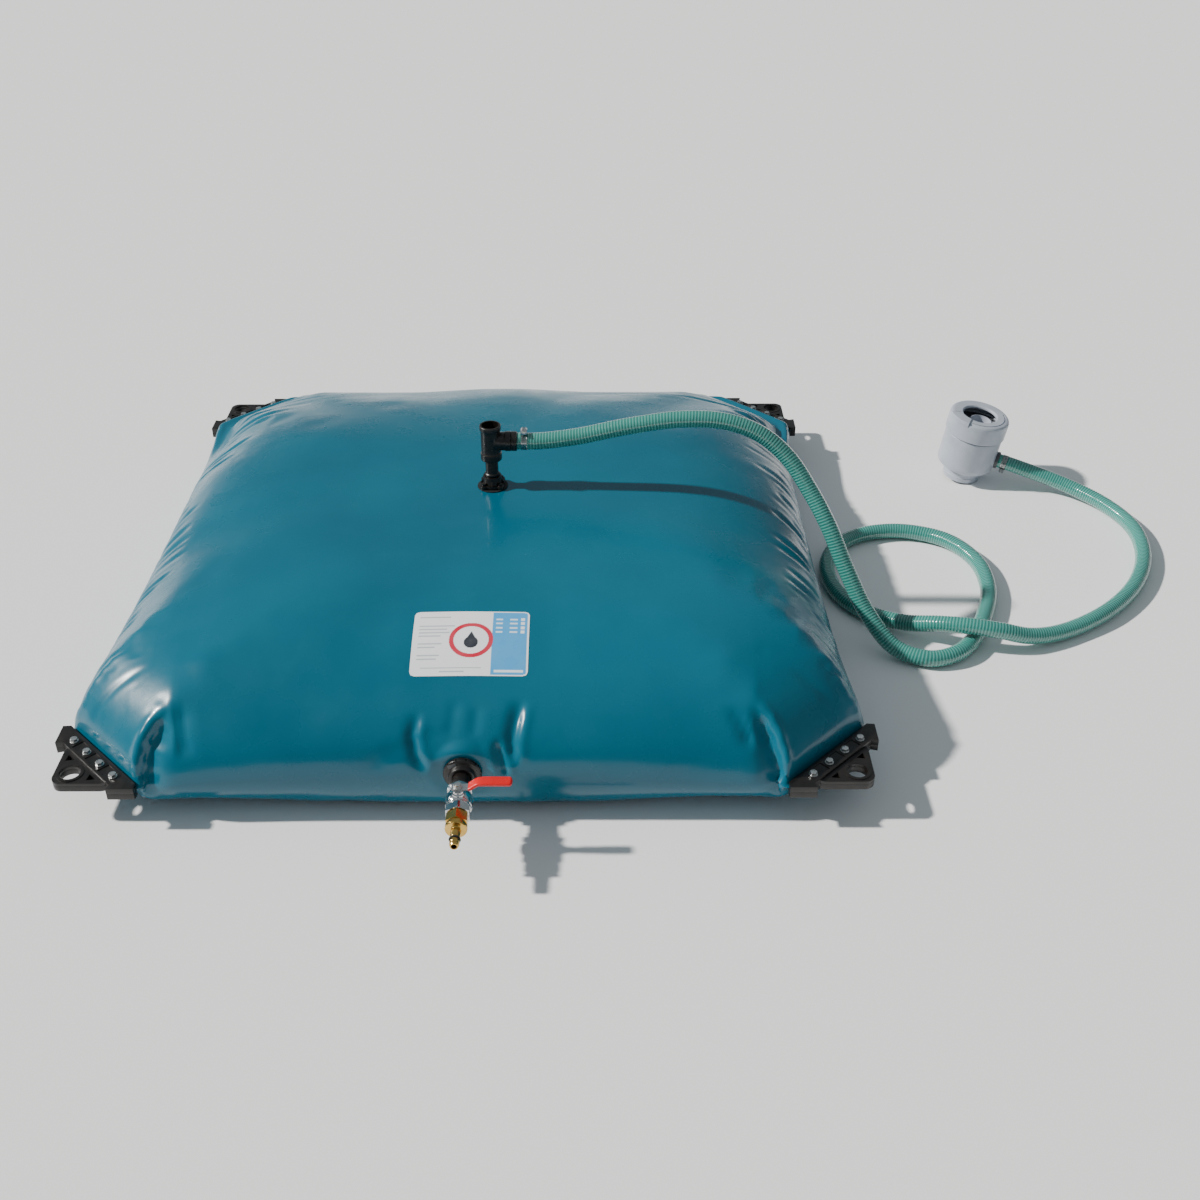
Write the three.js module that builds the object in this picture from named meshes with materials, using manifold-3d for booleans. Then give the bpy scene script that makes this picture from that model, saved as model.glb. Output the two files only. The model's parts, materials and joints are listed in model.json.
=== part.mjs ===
import * as THREE from 'three'
import { mergeVertices } from 'three/addons/utils/BufferGeometryUtils.js'
import Module from 'manifold-3d'

// A flexible rainwater storage bladder with clamped corners, a top inlet with an overflow tee, a
// spiral hose to a downpipe collector, and a front outlet with a ball valve. Millimetres, +Z up.
// The origin is on the ground under the middle of the bladder; -Y is the front, where the outlet is.

const wasm = await Module()
wasm.setup()

// ---- driving dimensions -------------------------------------------------------------------------

const GAP = 0.3 // clearance between pieces that touch
const ROUND = 18 // sides of a round piece; pieces that fit in each other share it
const WIDE_ROUND = 26 // sides of the collector's wide shells

const bladder = {
  height: 284,
  midFront: 757, // from the centre to the front and back edges, at their middles
  midSide: 700, // from the centre to the left and right edges, at their middles
  seamZMid: 100, // height of the widest line, mid-side
  seamZCorner: 80, // height of the same line at the corners
  contact: 0.93, // share of the half width that rests on the ground
  tabThick: 2.4,
}
const corner = {
  x: 652, // middle of the plate's inner edge
  y: 684,
  halfLength: 114.5,
  lugPeak: 104.7, // where the lug's two faces would meet, out from the inner edge
  lugRound: 18.6,
  eyeOut: 64,
  eyeR: 18.5,
  half: 12, // thickness of each clamped half
  lugHalf: 6, // thickness of the upper half over the lug
  boltOut: 18,
  boltPitch: 46,
  boltR: 4,
}
const plateRow = { x: 104, inner: -26, outer: 27 } // the fabric tab between a corner's plates
const inlet = {
  x: 18,
  y: -40,
  seatZ: 281.7, // the fabric's top under the flange
  gasketThick: 2,
  flangeR: 25,
  flangeThick: 7,
  collarR: 19,
  collarTop: 25.5, // above the seat
  earR: 8,
  earOut: 24,
  earCount: 4,
  pipeR: 14.9, // the screwed foot of the riser
  riserR: 13.2,
  riserBore: 11,
  teeBottomZ: 345,
  teeTopZ: 423,
  teeR: 20.2,
  rimR: 22, // the thicker rims of the tee
  branchZ: 386,
  branchR: 20,
  branchReach: 42,
  counterR: 40, // the flange inside the bladder
  counterThick: 8,
}
const outlet = {
  z: 105,
  seatY: -752,
  flangeR: 34,
  counterR: 36,
  nippleR: 16.6,
  nippleEnd: 60, // from the seat
  bore: 12.5,
}
const valve = {
  start: 48, // its inner end, from the seat
  centre: 80, // the ball, from the seat
  ballR: 17,
  ballBore: 12,
  bodyR: 24,
  rearHex: 42,
  frontHex: 40,
  length: 65,
  neckR: 9,
  stemR: 5,
  plateZ: 34.4, // the lever's plate, above the ball
  leverRise: 12,
  leverThick: 3,
  leverHalf: 8,
  leverReach: 88,
  sleeveHalf: 10,
}
const nose = {
  start: 114.3, // from the seat
  hex: 36,
  hexLong: 22,
  collarR: 19,
  pipeR: 8.5,
  bore: 5,
  length: 72,
  ringR: 1.5,
}
const barb = { bore: 10.5, r: 14.2, ridge: 14.6, valley: 13.8, end: 13.6 } // a hose tail
const clamp = { inner: 19, outer: 20.6, half: 6, wormOut: 23.5, wormR: 3, out: 69 }
const hose = { r: 18, bore: 15, sides: 8, steps: 58, grip: 34, startX: 54.5 }
const collector = {
  x: 1162,
  y: 512,
  leanDeg: 8.2,
  turnDeg: -25, // the way it leans, from +X
  spigotR: 45.5,
  wallR: 70,
  wall: 3,
  wallTop: 124,
  skirtTop: 150, // the inner skirt that the cap turns on
  capR: 73.5,
  capTop: 175,
  mouthR: 41,
  tongueDeg: 37, // the raised tongue on the cap, from the side opposite the hose
  standR: 27, // the overflow stand pipe
  standWall: 2.5,
  standOffset: 6,
  standTop: 160,
  plateZ: 28,
  strainerZ: 143,
  tailZ: 69.6,
  tailR: 16,
  hoseStart: 78.3,
  clampOut: 93,
}

// ---- materials ----------------------------------------------------------------------------------

const material = (color, roughness, metalness = 0) =>
  new THREE.MeshStandardMaterial({ color, roughness, metalness })

const teal = material(0x176f80, 0.35)
const black = material(0x17120f, 0.35)
const rubber = material(0x15181a, 0.7)
const zinc = material(0xb9bdc0, 0.3, 0.9)
const chrome = material(0xd5d6d4, 0.15, 1)
const steel = material(0xb4b6b6, 0.3, 0.9)
const brass = material(0xc79a3c, 0.25, 1)
const red = material(0xdc1f24, 0.4)
const white = material(0xf2f4f5, 0.45)
const ptfe = material(0xf5f5f0, 0.5)
const hoseGreen = material(0x4fae94, 0.3)
const grey = material(0xb9bfca, 0.4)
const darkGrey = material(0x4a4d52, 0.45)

// ---- solids -------------------------------------------------------------------------------------

const X = new THREE.Vector3(1, 0, 0)
const deg = THREE.MathUtils.degToRad

// Merges shared vertices, drops slivers, and turns the faces outwards.
function closed(source) {
  const bare = source.clone()
  bare.deleteAttribute('normal')
  bare.deleteAttribute('uv')
  const merged = mergeVertices(bare, 1e-4)
  const p = merged.attributes.position
  const index = merged.index.array
  const corner3 = (i) => new THREE.Vector3().fromBufferAttribute(p, i)
  const kept = []
  let volume = 0
  for (let i = 0; i < index.length; i += 3) {
    const [a, b, c] = [index[i], index[i + 1], index[i + 2]]
    if (a === b || b === c || c === a) continue
    kept.push(a, b, c)
    volume += corner3(a).dot(corner3(b).cross(corner3(c)))
  }
  if (volume < 0) {
    for (let i = 0; i < kept.length; i += 3) [kept[i + 1], kept[i + 2]] = [kept[i + 2], kept[i + 1]]
  }
  const out = new THREE.BufferGeometry()
  out.setAttribute('position', p)
  out.setIndex(kept)
  return out
}

function toManifold(source) {
  const g = closed(source)
  return new wasm.Manifold(new wasm.Mesh({
    numProp: 3,
    vertProperties: new Float32Array(g.attributes.position.array),
    triVerts: new Uint32Array(g.index.array),
  }))
}

function fromManifold(solid) {
  const mesh = solid.getMesh()
  const out = new THREE.BufferGeometry()
  out.setAttribute('position', new THREE.BufferAttribute(new Float32Array(mesh.vertProperties), 3))
  out.setIndex(new THREE.BufferAttribute(new Uint32Array(mesh.triVerts), 1))
  return out
}

const join = (...parts) => fromManifold(parts.map(toManifold).reduce((a, b) => a.add(b)))
const cut = (body, ...tools) =>
  fromManifold(tools.map(toManifold).reduce((a, b) => a.subtract(b), toManifold(body)))

// A round rod or an N-sided prism along Z, from z0 to z1.
function rod(r, z0, z1, sides = ROUND) {
  return new THREE.CylinderGeometry(r, r, z1 - z0, sides)
    .rotateX(Math.PI / 2)
    .translate(0, 0, (z0 + z1) / 2)
}

// A hexagonal prism along Z, given by its size across flats.
const hex = (flats, z0, z1) => rod(flats / Math.sqrt(3), z0, z1, 6)

function box(x0, x1, y0, y1, z0, z1) {
  return new THREE.BoxGeometry(x1 - x0, y1 - y0, z1 - z0)
    .translate((x0 + x1) / 2, (y0 + y1) / 2, (z0 + z1) / 2)
}

// A solid turned about Z from [radius, z] pairs; a profile off the axis closes on itself.
function turned(profile, segments = ROUND) {
  const points = profile.map(([r, z]) => new THREE.Vector2(r, z))
  if (profile[0][0] > 0) points.push(points[0].clone())
  return new THREE.LatheGeometry(points, segments).rotateX(Math.PI / 2)
}

// A pipe along Z with square ends.
const pipe = (outer, inner, z0, z1, segments = ROUND) =>
  turned([[inner, z0], [outer, z0], [outer, z1], [inner, z1]], segments)

// A prism on a [x, y] outline, from z0 to z1.
function prism(outline, z0, z1) {
  const shape = new THREE.Shape(outline.map(([x, y]) => new THREE.Vector2(x, y)))
  return new THREE.ExtrudeGeometry(shape, { depth: z1 - z0, bevelEnabled: false }).translate(0, 0, z0)
}

const group = new THREE.Group()

function add(parent, name, geometry, mat) {
  const mesh = new THREE.Mesh(closed(geometry), mat)
  mesh.name = name
  parent.add(mesh)
  return mesh
}

function place(x, y, z) {
  const frame = new THREE.Group()
  frame.position.set(x, y, z)
  group.add(frame)
  return frame
}

// ---- bladder ------------------------------------------------------------------------------------

// The edge of the filled bladder seen from above, one quarter: a side, the cut corner, a side.
function quarterEdge() {
  const sideSteps = 5
  const cutSteps = 2
  const cutHalf = 112
  const clear = 2
  const end = (sign) => [
    corner.x + (-clear - sign * cutHalf) / Math.SQRT2,
    corner.y + (-clear + sign * cutHalf) / Math.SQRT2,
  ]
  const [frontX, frontY] = end(1)
  const [sideX, sideY] = end(-1)
  const points = []
  for (let i = 0; i < sideSteps; i++) {
    const t = i / sideSteps
    points.push([frontX * t, bladder.midFront + (frontY - bladder.midFront) * t ** 4])
  }
  for (let i = 0; i < cutSteps; i++) {
    const t = i / cutSteps
    points.push([frontX + (sideX - frontX) * t, frontY + (sideY - frontY) * t])
  }
  for (let i = sideSteps; i > 0; i--) {
    const t = i / sideSteps
    points.push([bladder.midSide + (sideX - bladder.midSide) * t ** 3, sideY * t])
  }
  return points
}

function wholeEdge() {
  const quarter = quarterEdge()
  const front = quarter
  const back = quarter.map(([x, y]) => [x, -y]).reverse()
  const right = [...front, [bladder.midSide, 0], ...back.slice(0, -1)]
  const left = right.map(([x, y]) => [-x, y]).reverse()
  return [...right, [0, -bladder.midFront], ...left.slice(0, -1)]
}

// How much a point of the edge belongs to a corner: 1 on the cut, falling to 0 along the sides.
function cornerShare(x, y) {
  const reach = 260
  const along = Math.abs(Math.abs(x) - Math.abs(y) - (corner.x - corner.y)) / Math.SQRT2
  const past = Math.max(0, along - corner.halfLength) / reach
  const t = Math.max(0, 1 - past)
  return t * t * (3 - 2 * t)
}

function bladderShell() {
  const edge = wholeEdge()
  const topRings = [0.42, 0.64, 0.79, 0.89, 0.955]
  const lowRings = [0.985, 0.95]
  const top = (rho, share) => (1 - rho ** (3.4 + 3.6 * share)) ** (1 / (2 - 0.7 * share))
  const low = (rho, share) => {
    const flat = bladder.contact - 0.05 * share
    const t = Math.min(1, (1 - rho) / (1 - flat))
    return 1 - Math.sqrt(1 - (1 - t) ** (2 - 0.6 * share))
  }
  const rows = []
  const ring = (rho, z) => edge.map(([x, y]) => {
    const share = cornerShare(x, y)
    const seam = bladder.seamZMid + (bladder.seamZCorner - bladder.seamZMid) * share
    return [x * rho, y * rho, z(seam, share)]
  })
  for (const rho of topRings) {
    rows.push(ring(rho, (seam, share) => seam + (bladder.height - seam) * top(rho, share)))
  }
  rows.push(ring(1, (seam) => seam))
  for (const rho of lowRings) rows.push(ring(rho, (seam, share) => seam * low(rho, share)))
  rows.push(ring(bladder.contact - 0.05, () => 0))

  const vertices = [[0, 0, bladder.height], ...rows.flat(), [0, 0, 0]]
  const n = edge.length
  const at = (row, i) => 1 + row * n + (i % n)
  const index = []
  for (let i = 0; i < n; i++) {
    index.push(0, at(0, i), at(0, i + 1))
    for (let row = 0; row < rows.length - 1; row++) {
      index.push(at(row, i), at(row + 1, i), at(row + 1, i + 1))
      index.push(at(row, i), at(row + 1, i + 1), at(row, i + 1))
    }
    index.push(vertices.length - 1, at(rows.length - 1, i + 1), at(rows.length - 1, i))
  }
  const shell = new THREE.BufferGeometry()
  shell.setAttribute('position', new THREE.Float32BufferAttribute(vertices.flat(), 3))
  shell.setIndex(index)
  return shell
}

const corners = [
  ['front_right', 1, -1],
  ['front_left', -1, -1],
  ['back_right', 1, 1],
  ['back_left', -1, 1],
]
const boltPlaces = [-1.5, -0.5, 0.5, 1.5].map((k) => k * corner.boltPitch)

// The frame of one corner: its +Y points out of the corner, its X along the cut.
function cornerMatrix(sx, sy) {
  const turn = new THREE.Matrix4().makeRotationZ(Math.atan2(sy, sx) - Math.PI / 2)
  return turn.setPosition(sx * corner.x, sy * corner.y, bladder.seamZCorner)
}

function makeBladder() {
  const tabHalf = bladder.tabThick / 2
  const tab = cut(
    box(-plateRow.x, plateRow.x, plateRow.inner, plateRow.outer, -tabHalf, tabHalf),
    ...boltPlaces.map((v) => rod(corner.boltR + 1, -5, 5, 6).translate(v, corner.boltOut, 0)),
  )
  const tabs = corners.map(([, sx, sy]) => tab.clone().applyMatrix4(cornerMatrix(sx, sy)))
  const hollow = 10.5 // depth of the room for a counter-flange, from the seat
  const skin = 2
  const topPocket = join(
    rod(inlet.counterR + 2, -hollow, -skin),
    rod(inlet.pipeR + 3.1, -hollow + 1.5, skin),
    rod(inlet.counterR + 8, 0, 20),
  ).translate(inlet.x, inlet.y, inlet.seatZ)
  const frontPocket = join(
    rod(outlet.counterR + 0.5, skin, hollow + 0.5),
    rod(outlet.nippleR + 3.4, -skin, hollow - 0.5),
    rod(outlet.counterR + 8, -40, 0),
  ).rotateX(-Math.PI / 2).translate(0, outlet.seatY, outlet.z)
  return cut(join(bladderShell(), ...tabs), topPocket, frontPocket)
}

add(group, 'bladder', makeBladder(), teal)

// ---- corner plates and their bolts --------------------------------------------------------------

const mirrored = (half) => [...half, ...half.filter(([x]) => x > 0).map(([x, y]) => [-x, y]).reverse()]

// The clamped bar, and the whole plate with its rounded tie-down lug.
const barHalf = [[corner.halfLength, 0], [124, 11], [90, 45], [84, 34]]
function lugHalfOutline() {
  const arc = []
  const steps = 3
  const centreY = corner.lugPeak - corner.lugRound * Math.SQRT2
  for (let i = 0; i <= steps; i++) {
    const a = deg(45 + (45 * i) / steps)
    const x = i === steps ? 0 : corner.lugRound * Math.cos(a)
    arc.push([x, centreY + corner.lugRound * Math.sin(a)])
  }
  return [...barHalf, [67, 34], [62, 42.7], ...arc]
}

function plateHoles() {
  const pocket = [[28, 41], [47, 41], [37.5, 54]]
  return [
    ...boltPlaces.map((v) => rod(corner.boltR + GAP, -30, 30, 6).translate(v, corner.boltOut, 0)),
    rod(corner.eyeR, -30, 30, 14).translate(0, corner.eyeOut, 0),
    prism(pocket, -30, 30),
    prism(pocket.map(([x, y]) => [-x, y]).reverse(), -30, 30),
    box(-106, 106, -5, 29, -bladder.tabThick / 2 - GAP, bladder.tabThick / 2 + GAP),
  ]
}

const plateOutline = mirrored(lugHalfOutline())
const plateUpper = cut(
  join(prism(plateOutline, GAP / 2, corner.lugHalf), prism(mirrored(barHalf), 4, corner.half)),
  ...plateHoles(),
)
const plateLower = cut(prism(plateOutline, -corner.half, -GAP / 2), ...plateHoles())

// A hexagon bolt: its head, its shank and the nut that closes it under the plates.
function cornerBolt() {
  return join(
    hex(13, corner.half + GAP, corner.half + 7),
    rod(corner.boltR, -corner.half - 9, corner.half + 2, 6),
    hex(13, -corner.half - 6.8, -corner.half - GAP),
  )
}

const boltGeometry = cornerBolt()
for (const [name, sx, sy] of corners) {
  const frame = new THREE.Group()
  frame.applyMatrix4(cornerMatrix(sx, sy))
  group.add(frame)
  add(frame, `corner_plate_upper_${name}`, plateUpper, black)
  add(frame, `corner_plate_lower_${name}`, plateLower, black)
  boltPlaces.forEach((v, i) => {
    const bolt = add(frame, `corner_bolt_${name}_${i + 1}`, boltGeometry, zinc)
    bolt.position.set(v, corner.boltOut, 0)
  })
}

// ---- inlet on the top ---------------------------------------------------------------------------

function lobedDisc(z0, z1) {
  const ears = []
  for (let i = 0; i < inlet.earCount; i++) {
    const a = (i + 0.5) * (2 * Math.PI / inlet.earCount)
    const [x, y] = [inlet.earOut * Math.cos(a), inlet.earOut * Math.sin(a)]
    ears.push(rod(inlet.earR, z0, z1, 12).translate(x, y, 0))
  }
  return cut(join(rod(inlet.flangeR, z0, z1), ...ears), rod(inlet.pipeR + GAP, z0 - 1, z1 + 1))
}

// A hose tail along Z: a plug for its socket, a collar where given, and a ribbed spigot.
function hoseTail(z0, plugR, collar, end) {
  const { bore, r, ridge, valley, end: tip } = barb
  return turned([
    [bore, z0], [plugR, z0], ...collar, [r, end - 31.7], [ridge, end - 20], [valley, end - 18],
    [ridge, end - 6], [tip, end], [bore, end],
  ]).applyMatrix4(alongX)
}

function makeInlet() {
  const top = place(inlet.x, inlet.y, inlet.seatZ)
  const { gasketThick: gasket, pipeR, rimR, counterThick } = inlet
  const counter = pipe(inlet.counterR, pipeR + GAP, -2 - counterThick, -2 - GAP)
  add(top, 'inlet_counter_flange', counter, black)
  add(top, 'inlet_gasket', pipe(32, pipeR + 2.1, GAP, gasket), rubber)
  const flangeTop = gasket + inlet.flangeThick
  add(top, 'inlet_flange', join(
    lobedDisc(gasket + GAP, flangeTop),
    pipe(inlet.collarR, pipeR + GAP, flangeTop - 1, inlet.collarTop),
  ), black)

  const socket = inlet.teeBottomZ - inlet.seatZ // the tee's lower end, above the seat
  const high = inlet.teeTopZ - inlet.seatZ
  const branchUp = inlet.branchZ - inlet.seatZ
  const riserTop = socket + 17
  add(top, 'inlet_riser', turned([
    [inlet.riserBore, -9], [pipeR, -9], [pipeR, 25], [inlet.riserR, 27], [inlet.riserR, riserTop],
    [inlet.riserBore, riserTop],
  ]), black)

  const branch = (r, x0, x1) => rod(r, x0, x1).applyMatrix4(alongX).translate(0, 0, branchUp)
  const tee = cut(
    join(
      turned([
        [0, socket], [rimR, socket], [rimR, socket + 16], [inlet.teeR, socket + 19],
        [inlet.teeR, high - 11], [rimR, high - 9], [rimR, high], [0, high],
      ]),
      branch(inlet.branchR, 0, inlet.branchReach),
    ),
    rod(inlet.riserR + GAP, socket - 1, riserTop + GAP),
    rod(11.5, riserTop, riserTop + 10),
    rod(16.5, riserTop + 8, high + 1),
    branch(barb.r + GAP, 0, inlet.branchReach + 1),
  )
  add(top, 'inlet_tee', tee, black)

  const collarFrom = inlet.branchReach + GAP
  const collar = [[barb.r, collarFrom], [21, collarFrom], [21, 54.2], [barb.r, 54.2]]
  add(top, 'inlet_hose_tail', hoseTail(22, barb.r, collar, 86).translate(0, 0, branchUp), black)
  addClamp(top, 'inlet', new THREE.Vector3(clamp.out, 0, branchUp))
}

// Turns a piece built along Z so that it runs along +X, with its own +X pointing down.
const alongX = new THREE.Matrix4().makeRotationY(Math.PI / 2)

// A worm-drive clamp round a hose along X: the band with its housing, and the screw across it.
function addClamp(parent, name, position, roll = 0) {
  const { inner, outer, half, wormOut, wormR } = clamp
  const frame = new THREE.Group()
  frame.position.copy(position)
  frame.rotation.set(0, Math.PI / 2, roll)
  parent.add(frame)
  const across = new THREE.Matrix4().makeRotationX(-Math.PI / 2).setPosition(-wormOut, 0, 0)
  const housing = box(-wormOut - 4, -18.6, -9, 9, -6.5, 6.5)
  const wormHole = rod(wormR + 0.6, -20, 8, 10).applyMatrix4(across)
  const band = cut(join(pipe(outer, inner, -half, half), housing), wormHole, rod(inner, -9, 9))
  add(frame, `${name}_clamp_band`, band, steel)
  const screw = join(rod(wormR, -7, 7.6, 10), hex(7, -13, -9.4), rod(2.2, -9.5, -6, 10))
  add(frame, `${name}_clamp_screw`, screw.applyMatrix4(across), zinc)
}

makeInlet()

// ---- hose ---------------------------------------------------------------------------------------

const lean = deg(collector.leanDeg)
const collectorTurn = new THREE.Euler(0, lean, deg(collector.turnDeg), 'ZYX')
const collectorZ = collector.spigotR * Math.sin(lean) + 0.05 // the spigot's low edge meets the ground

// A point given in the collector's own leaning frame.
function onCollector(x, y, z) {
  return new THREE.Vector3(x, y, z)
    .applyEuler(collectorTurn)
    .add(new THREE.Vector3(collector.x, collector.y, collectorZ))
}

const hoseStart = new THREE.Vector3(inlet.x + hose.startX, inlet.y, inlet.branchZ)
const hoseEnd = onCollector(collector.hoseStart, 0, collector.tailZ)

// The route: out of the tee, over the bladder's edge, once round on the ground, across itself, and
// round to the collector.
const route = [
  hoseStart,
  ...[
    [118, -40, 386], [196, -40, 396], [300, -40, 419], [410, -40, 435], [500, -42, 431],
    [572, -50, 406], [630, -68, 361], [676, -96, 300], [715, -134, 237], [756, -180, 152],
    [798, -223, 78], [852, -272, 27], [918, -300, 18.5], [978, -283, 18.6], [1025, -232, 18],
    [1068, -145, 18], [1102, -35, 18], [1100, 80, 18], [1050, 170, 18], [960, 210, 18],
    [865, 198, 18], [793, 142, 18], [756, 45, 18], [770, -62, 18.4], [820, -134, 18.9],
    [890, -186, 30], [955, -219, 49], [1015, -238, 56], [1075, -244, 49], [1140, -236, 30],
    [1215, -208, 19.4], [1330, -135, 18.4], [1430, -25, 18], [1490, 100, 18], [1505, 225, 18.3],
    [1470, 335, 19], [1400, 406, 30],
  ].map((p) => new THREE.Vector3(...p)),
  onCollector(collector.hoseStart + 50, 0, collector.tailZ),
  hoseEnd,
]

function makeHose() {
  const path = new THREE.CatmullRomCurve3(route, false, 'centripetal')
  const section = new THREE.Shape()
  for (let i = 0; i < hose.sides; i++) {
    const a = ((i + 0.5) / hose.sides) * 2 * Math.PI
    section[i ? 'lineTo' : 'moveTo'](hose.r * Math.cos(a), hose.r * Math.sin(a))
  }
  section.closePath()
  const tube = new THREE.ExtrudeGeometry(section, { steps: hose.steps, extrudePath: path })
  const grip = rod(hose.bore, -1, hose.grip, 20).applyMatrix4(alongX)
  const turn = new THREE.Matrix4().makeRotationFromEuler(collectorTurn)
  const gripStart = grip.clone().translate(...hoseStart)
  const gripEnd = grip.clone().applyMatrix4(turn).translate(...hoseEnd)
  return cut(tube, gripStart, gripEnd)
}

add(group, 'hose', makeHose(), hoseGreen)

// ---- outlet and ball valve on the front ---------------------------------------------------------

// The valve's frame: its local +Z runs out of the bladder, towards -Y, and its local +Y is up.
const out = place(0, outlet.seatY, outlet.z)
out.rotation.x = Math.PI / 2

function makeOutlet() {
  const { bore, nippleR, nippleEnd, flangeR } = outlet
  add(out, 'outlet_counter_flange', pipe(outlet.counterR, nippleR + 0.4, -10.5, -2 - GAP), black)
  add(out, 'outlet_gasket', pipe(flangeR - 1, nippleR + 1.4, GAP, 2), rubber)
  add(out, 'outlet_flange', turned([
    [nippleR + 0.4, 2 + GAP], [flangeR, 2 + GAP], [flangeR, 8], [31, 10], [24, 10.5], [22, 20],
    [nippleR + 0.4, 20],
  ]), black)
  add(out, 'outlet_nipple', pipe(nippleR, bore, -9, nippleEnd), black)
}

// Stands a piece built with +Z up on the valve's centre, inside the outlet's frame.
function upright(geometry) {
  return geometry.rotateX(-Math.PI / 2).translate(0, 0, valve.centre)
}

function makeValveBody() {
  const { start, centre, bodyR, neckR, stemR } = valve
  const socketEnd = start + 13.2 // the nipple stops here
  const endFace = centre + 16
  const shell = turned([
    [0, start + 10], [20, start + 10], [20.5, start + 14], [bodyR - 1, centre - 12], [bodyR, centre - 4],
    [bodyR, centre + 4], [bodyR - 1.5, endFace], [0, endFace],
  ])
  const body = cut(
    join(hex(valve.rearHex, start, start + 14).rotateZ(Math.PI / 6), shell, upright(rod(neckR, 10, 34))),
    rod(outlet.nippleR + 0.4, start - 1, socketEnd),
    rod(outlet.bore, start + 12, centre),
    rod(18.2, centre - 15.2, centre + 20),
    upright(rod(stemR + 0.4, 10, 40, 20)),
  )
  add(out, 'valve_body', body, chrome)

  const end = cut(
    join(
      hex(valve.frontHex, endFace + GAP, start + valve.length).rotateZ(Math.PI / 6),
      rod(17.9, endFace - 0.7, endFace + 4),
    ),
    rod(outlet.bore, centre + 10, centre + 24),
    rod(17, centre + 22, centre + 40),
  )
  add(out, 'valve_end', end, chrome)
}

function makeValveInside() {
  const { centre, ballR, ballBore, stemR } = valve
  const seat = (z0, z1) => {
    const hollow = new THREE.SphereGeometry(ballR + 2 * GAP, ROUND, 12)
    return cut(pipe(17.8, outlet.bore, z0, z1), hollow).translate(0, 0, centre)
  }
  add(out, 'valve_seat_rear', seat(-15, -11), ptfe)
  add(out, 'valve_seat_front', seat(11, 15), ptfe)

  // Closed: the ball's bore lies across the flow. The slot on its top takes the stem's tongue.
  const ball = cut(
    new THREE.SphereGeometry(ballR, ROUND, 12),
    rod(ballBore, -20, 20).applyMatrix4(alongX),
    box(-20, 20, 13, 20, -2.4, 2.4),
  ).translate(0, 0, centre)
  add(out, 'valve_ball', ball, chrome)
  const stem = join(rod(stemR, 17.6, valve.plateZ + 7.6, 20), box(-4, 4, -2, 2, 13.6, 18))
  add(out, 'valve_stem', upright(stem), brass)
}

// The lever: a plate on the stem that climbs to a flat handle, in a moulded sleeve.
function makeLever() {
  const { plateZ, leverRise: rise, leverThick: thick, leverHalf, leverReach: reach, stemR } = valve
  const side = [
    [-11, plateZ], [16, plateZ], [36, plateZ + rise], [reach, plateZ + rise],
    [reach, plateZ + rise + thick], [35, plateZ + rise + thick], [15, plateZ + thick],
    [-11, plateZ + thick],
  ]
  const strip = prism(side, -leverHalf, leverHalf).rotateX(Math.PI / 2)
  const stemHole = rod(stemR + GAP, plateZ - 2, plateZ + 10, 20)
  add(out, 'valve_lever', upright(cut(strip, stemHole)), steel)
  const sleeveWall = 2.4
  const core = box(
    30, reach + 0.4, -leverHalf - GAP, leverHalf + GAP, plateZ + rise - GAP, plateZ + rise + thick + GAP,
  )
  const sleeve = prism(sleeveOutline(), plateZ + rise - sleeveWall, plateZ + rise + thick + sleeveWall)
  add(out, 'lever_sleeve', upright(cut(sleeve, core)), red)
  const nut = cut(hex(13, plateZ + thick + GAP, plateZ + 6.6), stemHole)
  add(out, 'lever_nut', upright(nut), zinc)
}

// The sleeve seen from above: a long grip with a round end.
function sleeveOutline() {
  const { sleeveHalf: r } = valve
  const endX = 83 // centre of the round end
  const points = [[40, -r], [40, r]]
  const steps = 8
  for (let i = 0; i <= steps; i++) {
    const a = deg(90 - (180 * i) / steps)
    points.push([endX + r * Math.cos(a), r * Math.sin(a)])
  }
  return points.reverse()
}

function makeNose() {
  const { start, hexLong, collarR, pipeR: r, bore, length, ringR } = nose
  const face = start + hexLong + 2 // the adapter's front face
  const groove = r - 1.5
  add(out, 'brass_adapter', cut(
    join(
      hex(nose.hex, start, start + hexLong),
      rod(16.6, start - 9, start + 1),
      rod(17.4, start + hexLong - 1, face),
    ),
    rod(12, start - 10, start + 12),
    rod(11.3, start + 10, face + 1),
  ), brass)
  const end = start + length
  add(out, 'brass_nose', turned([
    [bore, start + 12], [11, start + 12], [11, face + GAP], [collarR, face + GAP],
    [collarR, start + 31], [16, start + 33], [r, start + 34], [r, start + 52], [groove, start + 53],
    [groove, start + 57], [r, start + 58], [r, end - 4], [6.5, end], [bore, end],
  ]), brass)
  const ring = new THREE.TorusGeometry(groove + GAP + ringR, ringR, 6, ROUND)
  add(out, 'nose_o_ring', ring.translate(0, 0, start + 55), rubber)
}

makeOutlet()
makeValveBody()
makeValveInside()
makeLever()
makeNose()

// ---- collector ----------------------------------------------------------------------------------

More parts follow.
